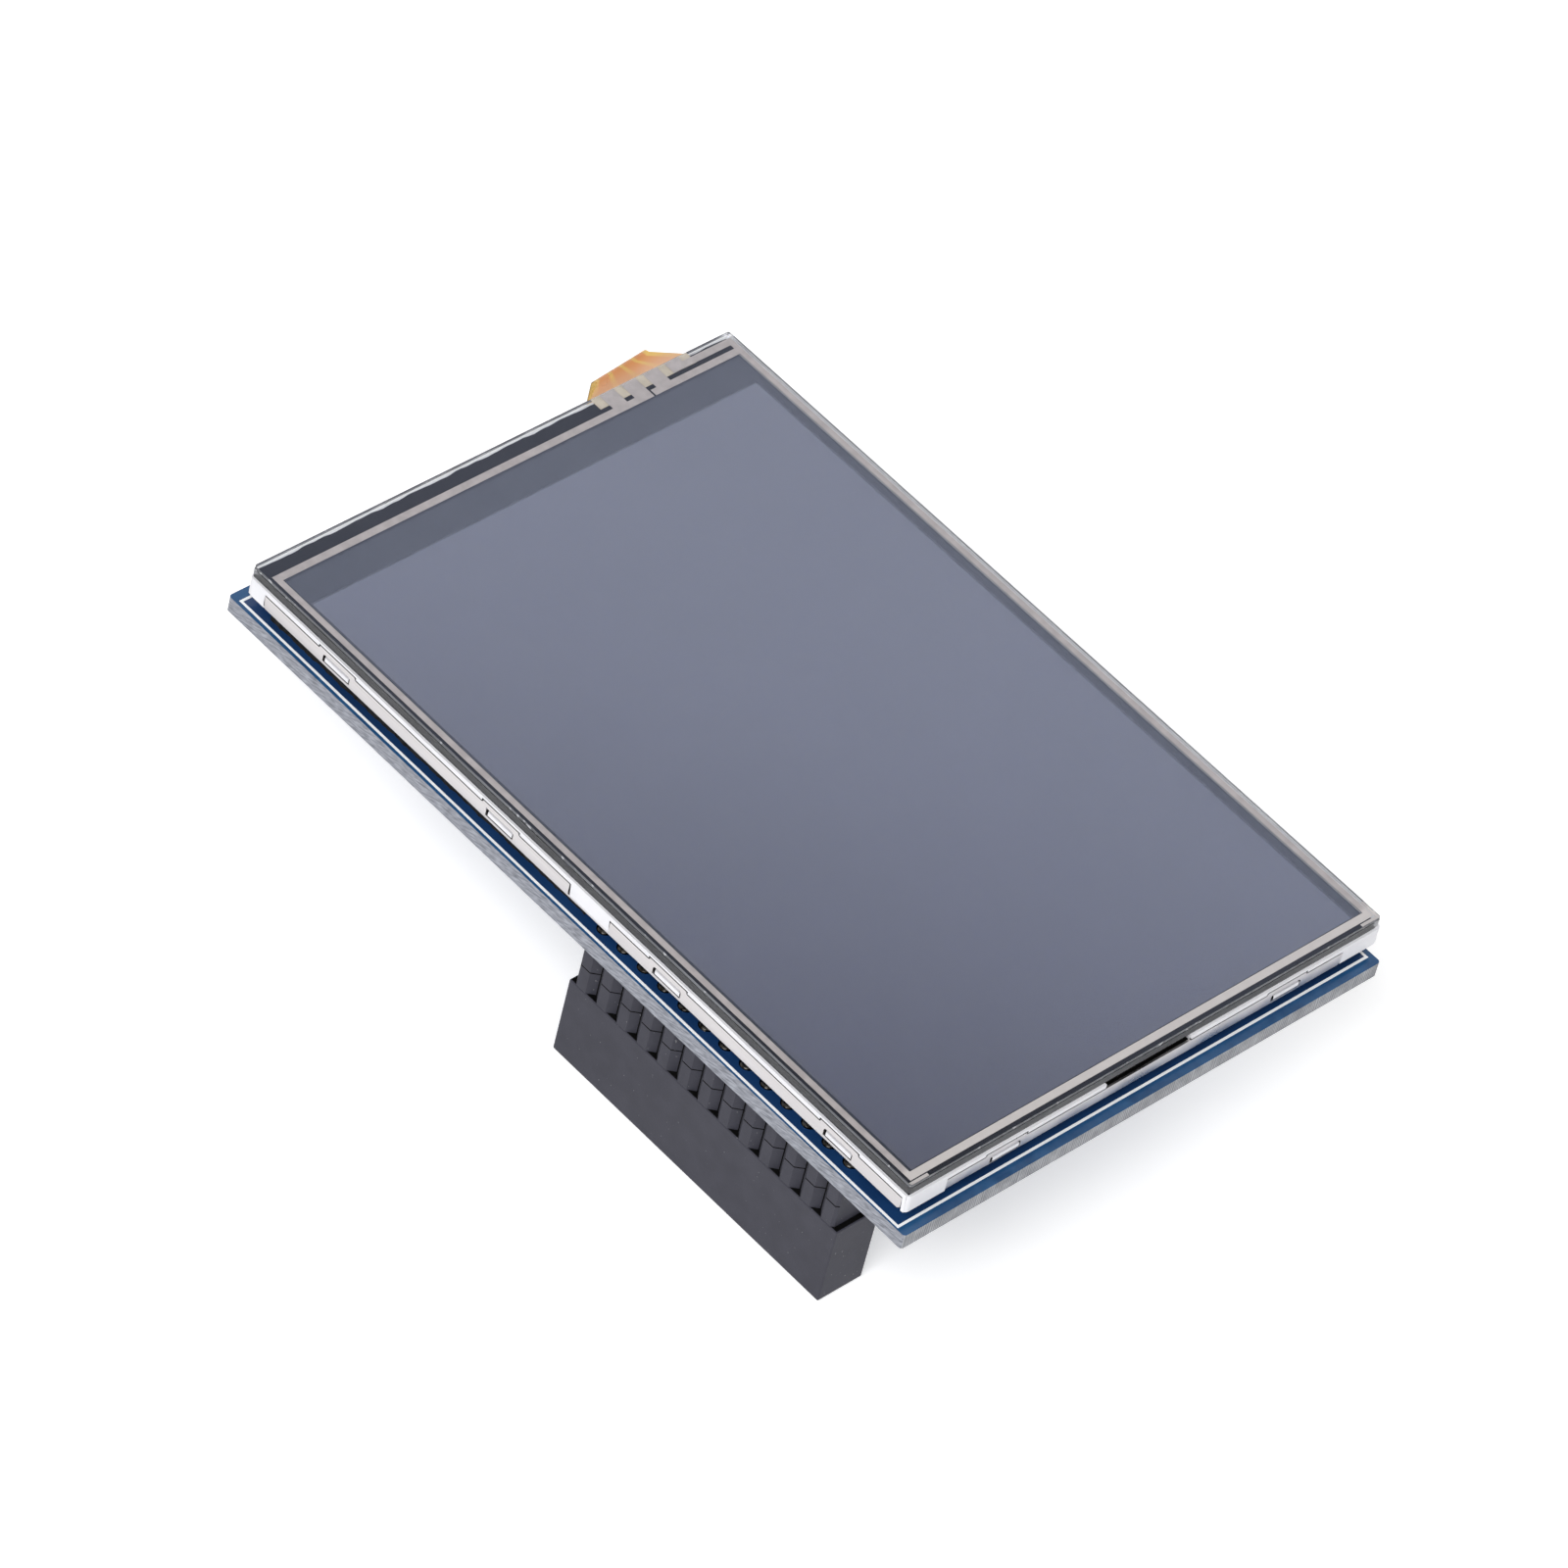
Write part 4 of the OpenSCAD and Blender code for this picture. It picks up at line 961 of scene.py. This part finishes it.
@dataclass
class ScreenModule:
    """Steel pan, white frame, foam tape and the liquid crystal cell.

    The foam's side is pressed out by foam_press at its far and its near end.
    """

    bend: float = 0.3
    bend_steps: int = 4
    sheet: float = 0.2
    slit: float = 0.12
    tie: float = 1e-6
    hook_shift: float = 0.14
    tab_round: float = 0.12
    window_round: float = 0.25
    end_round: float = 0.3
    round_steps: int = 3
    pan_smooth: float = 35.0
    window_top: float = 17.45
    wall_top: float = 17.8
    notch_floor: float = 17.48
    notch_reach: float = 0.05
    foam_press: Span = (0.25, 0.03)
    foam_wave: float = 0.07
    foam_ripple: Ripple = Ripple(0.5, 7.1, 0.9, 2.3)
    foam_cuts: int = 120

    def build(self) -> None:
        """Build the module's pieces."""
        self.low, self.high = node_box("back_shield")
        self.build_pan()
        self.build_frame()
        self.build_foam()
        self.dress_inside()

    def depth(self, point: Vector) -> float:
        """Give how far a point lies inside the pan's outline, in plan."""
        return min(inset(point, self.low, self.high))

    def wall_axis(self, point: Vector) -> int:
        """Give the number of the axis that the nearest wall faces along."""
        ends, sides = inset(point, self.low, self.high)
        return 0 if ends <= sides + self.tie else 1

    def in_sheet(self, point: Vector) -> bool:
        """Say if a point lies halfway through a wall's sheet."""
        return abs(self.depth(point) - self.sheet / 2) < self.sheet / 4

    def build_pan(self) -> None:
        """Build the steel pan, bent along its floor, with rounded tabs and a slit round its walls."""
        piece = Workpiece.of_node("shield_pan", "back_shield", Palette.STEEL)
        floor = self.low.z
        self.cut_slit(piece)
        bends = piece.edges_where(
            lambda middle, run: run.z < ACROSS and middle.z - floor < NEAR and self.depth(middle) < NEAR
        )
        piece.ease(self.bend, bends, self.bend_steps)
        corners = piece.edges_where(
            lambda middle, run: run.z < ACROSS and middle.z > floor + self.bend and self.in_sheet(middle)
            and run[self.wall_axis(middle)] > ALONG
        )
        windows = [edge for edge in corners if edge.verts[0].co.z < self.window_top]
        ends = [
            edge for edge in corners
            if self.window_top < edge.verts[0].co.z < self.wall_top and edge.calc_face_angle_signed(0) > 0
        ]
        tabs = [edge for edge in corners if edge not in windows and edge not in ends]
        for edges, radius in ((windows, self.window_round), (ends, self.end_round), (tabs, self.tab_round)):
            piece.ease(radius, [edge for edge in edges if edge.is_valid], self.round_steps)
        piece.done("shield_steel", "back_shield", smooth=self.pan_smooth)

    def cut_slit(self, piece: Workpiece) -> None:
        """Draw the cut edges of the walls in a little, so that a slit shows round them.

        Args:
            piece: Copy of the pan.
        """
        floor = self.low.z + self.sheet
        moves: dict[Vert, set[tuple[int, ...]]] = {}
        for face in piece.bm.faces:
            middle = centre(face)
            if middle.z < floor + NEAR or not self.in_sheet(middle):
                continue
            if abs(face.normal[self.wall_axis(middle)]) < ACROSS:
                for vert in face.verts:
                    moves.setdefault(vert, set()).add(tuple(round(part) for part in face.normal))
        for vert, normals in moves.items():
            for normal in normals:
                vert.co -= Vector(normal) * self.slit

    def build_frame(self) -> None:
        """Build the white frame, with painted shade where it lies behind the pan's walls and on the floor of
        its notch.
        """
        piece = Workpiece.of_node("moulded_frame", "backlight_frame", Palette.FRAME, Palette.SHADE)
        slack = self.sheet / 4
        # Painted shade behind the pan's walls and on the notch floor
        piece.wear(
            Palette.SHADE, lambda face: max(map(abs, face.normal)) > EXACT and not looks_up(face)
            and slack < self.depth(centre(face)) < self.sheet + slack and centre(face).z < self.high.z + NEAR
        )
        piece.wear(
            Palette.SHADE,
            lambda face: looks_up(face) and abs(centre(face).z - self.notch_floor) < self.notch_reach,
        )
        for vert in piece.bm.verts:
            if vert.co.z < self.window_top and self.depth(vert.co) < slack and self.wall_axis(vert.co):
                vert.co.x += self.hook_shift
        piece.done("frame_white", "backlight_frame")

    def build_foam(self) -> None:
        """Build the foam tape, pressed out unevenly on the socket's side."""
        piece = Workpiece.of_node("foam_strips", "foam_tape", Palette.FOAM)
        side = node_box("foam_tape")[0].y
        places = [vert.co.x for vert in piece.bm.verts if vert.co.y - side < NEAR]
        start, end = min(places), max(places)
        far, near = self.foam_press

        def pressed(at: float) -> float:
            """Give how far the side moves at a place along it."""
            share = (at - start) / (end - start)
            return -(far * (1 - share) + near * share + self.foam_wave * self.foam_ripple.at(at))

        piece.fray(1, side, self.foam_cuts, pressed)
        piece.done("foam", "foam_tape")

    def dress_inside(self) -> None:
        """Give the cell and the backlight their finishes."""
        dress(Palette.WHITE_FILM, "reflector_film", "light_guide", "diffuser_film")
        dress(Palette.WHITE_FILM, "prism_film_lower", "prism_film_upper")
        dress(Palette.CELL, "tft_glass", "colour_filter_glass")
        dress(Palette.POLARIZER, "front_polarizer", "rear_polarizer")
        dress(Palette.GASKET, "rim_tape")
        dress(Palette.ROOT_FILM, "lamp_strip")
        dress(Palette.LAMP, "lamps")
        dress(Palette.SILICON, "driver_chip")
        dress(Palette.FLEX, "screen_ribbon")


@dataclass
class TouchPanel:
    """Clear panel with its printed ring, black seal and amber tail.

    The silver ring lies ring_far, ring_near and ring_side inside the panel's outline.
    """

    corner: float = 0.3
    clear_lean: float = 0.1
    cavity_clear: float = 0.02
    ring_width: float = 0.75
    ring_side_width: float = 0.6
    ring_far: float = 1.9
    ring_near: float = 0.55
    ring_side: float = 0.45
    border: float = 0.06
    border_thick: float = 0.02
    border_gap: float = 0.001
    seal_inset: float = 0.05
    seal_side_inset: float = 0.5
    seal_far_inset: float = 0.26
    seal_tear: float = 0.05
    seal_ripple: Ripple = Ripple(1.0, 1.1, 2.9, 0.37)
    seal_cuts: int = 90
    seal_sink: float = 0.02
    seal_clear: float = 0.1
    tail_skew: float = 0.09
    tail_flap: float = 1.65
    fold_slope: float = 0.4
    tail_smooth: float = 30.0

    def build(self) -> None:
        """Build the panel's pieces."""
        self.low, self.high = node_box("touch_glass")
        self.film_low, self.film_high = node_box("touch_film")
        self.build_body()
        self.build_painted_ring_shadow()
        self.build_seal()
        self.build_tail()
        dress(Palette.SILVER, "touch_conductors")
        dress(Palette.COPPER, "tail_fingers")

    def air_gap(self) -> Corners:
        """Give the corners of the air gap, just inside the silver ring."""
        side = self.ring_side + self.ring_side_width
        low = (self.low.x + self.ring_far + self.ring_width, self.low.y + side)
        high = (self.high.x - self.ring_near - self.ring_width, self.high.y - side)
        return grown(low, high, -self.cavity_clear)

    def build_body(self) -> None:
        """Build glass, adhesive and film as one clear body round the air gap."""
        piece = Workpiece(
            "panel_body", Palette.PANEL, Palette.GROUND_EDGE, Palette.FILM_EDGE, Palette.CLEAR_EDGE,
            Palette.EDGE_PAINTED_LIGHT,
        )
        low, high = self.low, self.high
        base = piece.sheet((low.xy[:], high.xy[:]), low.z, self.corner)
        top = piece.raise_face(base, high.z - low.z)
        step = self.film_low.x - low.x
        bmesh.ops.inset_region(piece.bm, faces=[top], thickness=step, use_even_offset=True)
        piece.raise_face(top, self.film_high.z - high.z)
        bmesh.ops.recalc_face_normals(piece.bm, faces=piece.bm.faces)
        piece.wear(Palette.GROUND_EDGE, stands)
        # Painted light: the glass's +Y side wears the paler edge
        piece.wear(Palette.EDGE_PAINTED_LIGHT, lambda face: stands(face) and face.normal.y > ALONG)
        piece.wear(Palette.FILM_EDGE, lambda face: stands(face) and centre(face).z > high.z)
        piece.wear(
            Palette.CLEAR_EDGE, lambda face: stands(face) and centre(face).z > high.z
            and face.normal.y - face.normal.x > self.clear_lean
        )
        cavity = piece.slab(self.air_gap(), (high.z, self.film_low.z))
        walls = {face for vert in cavity for face in vert.link_faces}
        bmesh.ops.reverse_faces(piece.bm, faces=list(walls))
        piece.done("panel_glass", "touch_glass", "touch_spacer", "touch_film")

    def build_painted_ring_shadow(self) -> None:
        """Build a painted shadow of the silver ring: a thin dark line inside it, under the film."""
        piece = Workpiece("ring_painted_shadow", Palette.GASKET)
        outer = self.air_gap()
        top = self.film_low.z
        piece.ring(outer, grown(*outer, -self.border), (top - self.border_thick, top - self.border_gap))
        piece.done("black_tape")

    def build_seal(self) -> None:
        """Build the black seal, pressed into the underside of the glass."""
        piece = Workpiece("panel_seal", Palette.GASKET)
        low, high = self.low, self.high
        far = low.x + self.seal_far_inset
        piece.ring(
            ((far, low.y + self.seal_inset), (high.x - self.seal_inset, high.y - self.seal_side_inset)),
            grown(*node_box("front_polarizer"), self.seal_clear),
            (node_box("panel_gasket")[0].z, low.z + self.seal_sink),
        )
        piece.fray(0, far, self.seal_cuts, lambda at: self.seal_tear * self.seal_ripple.at(at))
        piece.done("black_tape", "panel_gasket")

    def build_tail(self) -> None:
        """Build the amber tail, pale where it is bonded in the panel, with painted light on its standing
        faces.
        """
        piece = Workpiece.of_node(
            "tail_ribbon", "touch_tail", Palette.AMBER, Palette.ROOT_FILM, Palette.FOLD_PAINTED_LIGHT
        )
        root = self.low.x
        piece.cut((root, 0, 0), (1, 0, 0))
        piece.wear(
            Palette.ROOT_FILM, lambda face: centre(face).x > root and centre(face).z > self.high.z - NEAR
        )
        # Painted light: the standing faces of the fold are lighter
        piece.wear(Palette.FOLD_PAINTED_LIGHT, lambda face: abs(face.normal.z) < self.fold_slope)
        low, high = node_box("touch_tail")
        for vert in piece.bm.verts:
            past = min(max((root - vert.co.x) / self.tail_flap, 0.0), 1.0)
            vert.co.x -= past * self.tail_skew * (vert.co.y - (low.y + high.y) / 2)
        piece.done("ribbon_film", "touch_tail", smooth=self.tail_smooth)


@dataclass
class UndersideParts:
    """Chips, resistors and capacitors under the board, with their pads and printed outlines.

    A track runs from each contact of the socket's inner row, in fan_rows lengths. Links run
    from chip to chip: each entry has the two ends along one axis and the places along the other.
    """

    edge: float = 0.1
    pad_margin: float = 0.12
    pad_thick: float = 0.03
    line_gap: float = 0.15
    line_width: float = 0.15
    line_thick: float = 0.02
    dot_radius: float = 0.3
    dot_sides: int = 20
    track_width: float = 0.3
    via_radius: float = 0.32
    via_sides: int = 16
    fan_from: float = 6.0
    fan_step: float = 2.2
    fan_stride: int = 5
    fan_rows: int = 4
    links_along_x: tuple[tuple[Span, tuple[float, ...]], ...] = (
        ((-18.3, -11.9), (34.9, 35.8, 36.7, 37.6, 20.0, 21.2, 22.4)),
        ((-30.2, -38.4), (35.0, 36.2, 37.4, 20.6, 21.9)),
    )
    links_along_y: tuple[tuple[Span, tuple[float, ...]], ...] = (
        ((25.2, 32.2), (-27.0, -25.4, -23.8, -8.0, -6.4, -4.8)),
    )
    chips: tuple[str, ...] = (
        "touch_controller", "shift_register_a", "shift_register_b", "bit_counter", "hex_inverter",
        "lamp_transistor",
    )

    def build(self) -> None:
        """Build the chips and what lies round them, and dress the small parts."""
        self.under = node_box("circuit_board")[0].z
        for node in self.chips:
            chip = Workpiece.of_node(f"{node}_case", node, Palette.CHIP)
            chip.ease(self.edge, chip.edges_where(lambda middle, run: max(run) > EXACT))
            chip.done("chip_plastic", node)
        dress(Palette.TIN, "chip_leads", "chip_end_caps")
        dress(Palette.CERAMIC, "chip_capacitors")
        dress(Palette.GLAZE, "chip_resistors")
        self.build_pads()
        self.build_outlines()
        self.build_tracks()

    def layer(self, thick: float) -> Span:
        """Give the heights of a layer on the board's underside."""
        return self.under - thick, self.under

    def build_pads(self) -> None:
        """Build the tinned pad over the foot of each lead and end cap."""
        piece = Workpiece("solder_pads", Palette.TIN)
        for node in ("chip_leads", "chip_end_caps"):
            feet = Workpiece.of_node(node, node)
            for face in feet.bm.faces:
                if looks_up(face) and abs(centre(face).z - self.under) < 2 * NEAR:
                    spots = [vert.co.xy for vert in face.verts]
                    low, high = (tuple(map(pick, *spots)) for pick in (min, max))
                    piece.slab(grown(low, high, self.pad_margin), self.layer(self.pad_thick))
            feet.bm.free()
        piece.done("solder")

    def build_outlines(self) -> None:
        """Build the white outline round each chip, with a dot by its first lead."""
        piece = Workpiece("chip_outlines", Palette.SILK)
        layer = self.layer(self.line_thick)
        reach = self.line_gap + self.line_width
        for node in self.chips:
            low, high = node_box(node)
            piece.ring(grown(low, high, reach), grown(low, high, self.line_gap), layer)
            dot, _ = grown(low, high, 2 * reach)
            piece.disc(dot, layer, (self.dot_radius, self.dot_radius), self.dot_sides)
        piece.done("solder_mask")

    def track_runs(self) -> list[tuple[Flat, Flat]]:
        """Give the start and end of each straight track.

        Returns:
            Those from the socket's inner row, then those from chip to chip.
        """
        runs = []
        for column, x in enumerate(COLUMN_X):
            length_row = column * self.fan_stride % self.fan_rows
            runs.append(((x, ROW_Y[1]), (x, self.fan_from + self.fan_step * length_row)))
        for (start, end), places in self.links_along_x:
            runs += [((start, y), (end, y)) for y in places]
        for (start, end), places in self.links_along_y:
            runs += [((x, start), (x, end)) for x in places]
        return runs

    def build_tracks(self) -> None:
        """Build the copper tracks under the mask, and the tinned via at the end of each."""
        tracks = Workpiece("copper_tracks", Palette.MASK_PAINTED_LIGHT_AND_TRACKS)
        vias = Workpiece("copper_vias", Palette.TIN)
        radii = (self.via_radius, self.via_radius)
        for start, end in self.track_runs():
            low, high = (tuple(map(pick, start, end)) for pick in (min, max))
            tracks.slab(grown(low, high, self.track_width / 2), self.layer(self.line_thick))
            vias.disc(end, self.layer(self.pad_thick), radii, self.via_sides)
        tracks.done("solder_mask")
        vias.done("solder")


@dataclass
class Studio:
    """Pale floor, soft light and the camera.

    The camera's place, lens and sensor are in millimetres and its turn in degrees. Sizes and
    places of the floor and the lamp are in metres.
    """

    camera_at: Point = (319.76, -425.573, 570.027)
    camera_turn: Point = (44.41682, -10.47549, 47.61597)
    lens: float = 215.712
    sensor: float = 36.0
    clip: Span = (0.01, 50.0)
    floor_size: float = 8.0
    floor_drop: float = 0.0001
    floor_shade: Colour = (0.9, 0.9, 0.9)
    floor_glow: float = 0.88
    floor_lift: float = 0.42
    sky_turn: Span = (0.685, 0.755)
    sky_light: Span = (1.05, 0.12)
    key_at: Point = (0.2, -0.6, 0.75)
    key_aim: Point = (-0.02, 0.025, 0.015)
    key_size: float = 0.5
    key_power: float = 5.5

    def build(self) -> None:
        """Set up the stage."""
        bpy.context.scene.view_settings.view_transform = "Standard"
        self.set_camera()
        self.lay_floor()
        self.light_sky()
        self.hang_key()

    def set_camera(self) -> None:
        """Put the camera where the picture was taken from."""
        lens = bpy.data.cameras.new("studio_camera")
        lens.lens = self.lens
        lens.sensor_width = self.sensor
        lens.clip_start, lens.clip_end = self.clip
        camera = add_object("studio_camera", lens)
        camera.location = Vector(self.camera_at) * MM
        camera.rotation_euler = Euler(map(math.radians, self.camera_turn), "XYZ")
        bpy.context.scene.camera = camera

    def floor_material(self) -> bpy.types.Material:
        """Make the floor's material: matt, lifted for the camera, and bright in reflections.

        Returns:
            The material.
        """
        recipe = Recipe("floor_white")
        recipe.tree.nodes.remove(recipe.shader)
        path = recipe.add("LightPath").outputs
        matt = recipe.add("BsdfDiffuse", self.floor_shade).outputs["BSDF"]
        lifted = recipe.math("MULTIPLY", path["Is Camera Ray"], self.floor_lift)
        lift = recipe.add("Emission", Strength=lifted).outputs["Emission"]
        ground = recipe.add("AddShader", matt, lift).outputs["Shader"]
        seen = recipe.math("MAXIMUM", path["Is Transmission Ray"], path["Is Glossy Ray"])
        share = recipe.math("MULTIPLY", seen, self.floor_glow)
        recipe.blend(share, ground, recipe.add("Emission").outputs["Emission"])
        return recipe.material

    def lay_floor(self) -> None:
        """Lay a white floor that keeps a faint shadow."""
        bm = bmesh.new()
        bmesh.ops.create_grid(bm, x_segments=1, y_segments=1, size=self.floor_size / 2)
        bmesh.ops.translate(bm, vec=(0, 0, -self.floor_drop), verts=bm.verts)
        mesh = bpy.data.meshes.new("studio_floor")
        bm.to_mesh(mesh)
        bm.free()
        mesh.materials.append(self.floor_material())
        floor = add_object("studio_floor", mesh)

    def light_sky(self) -> None:
        """Light the room: white round the horizon, dimmer overhead."""
        world = bpy.data.worlds.new("studio_sky")
        bpy.context.scene.world = world
        world.use_nodes = True
        nodes = Nodes(world.node_tree)
        height = nodes.axis(nodes.add("TexCoord").outputs["Generated"], "Z")
        light = nodes.span(height, self.sky_turn, self.sky_light)
        nodes.add("OutputWorld", nodes.add("Background", WHITE, light).outputs["Background"])

    def hang_key(self) -> None:
        """Hang the soft lamp that looks at the part."""
        data = bpy.data.lights.new("studio_key", "AREA")
        data.energy = self.key_power
        data.size = self.key_size
        lamp = add_object("studio_key", data)
        lamp.location = self.key_at
        aim = Vector(self.key_aim) - Vector(self.key_at)
        lamp.rotation_euler = aim.to_track_quat("-Z", "Y").to_euler()


def main() -> None:
    """Build the part and its stage."""
    logging.basicConfig(level=logging.INFO, format="%(name)s: %(message)s")
    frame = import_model()
    Workpiece.nodes = frame["nodes"]
    for assembly in (CircuitBoard(), PinSocket(), ScreenModule(), TouchPanel(), UndersideParts(), Studio()):
        assembly.build()


if __name__ == "__main__":
    main()
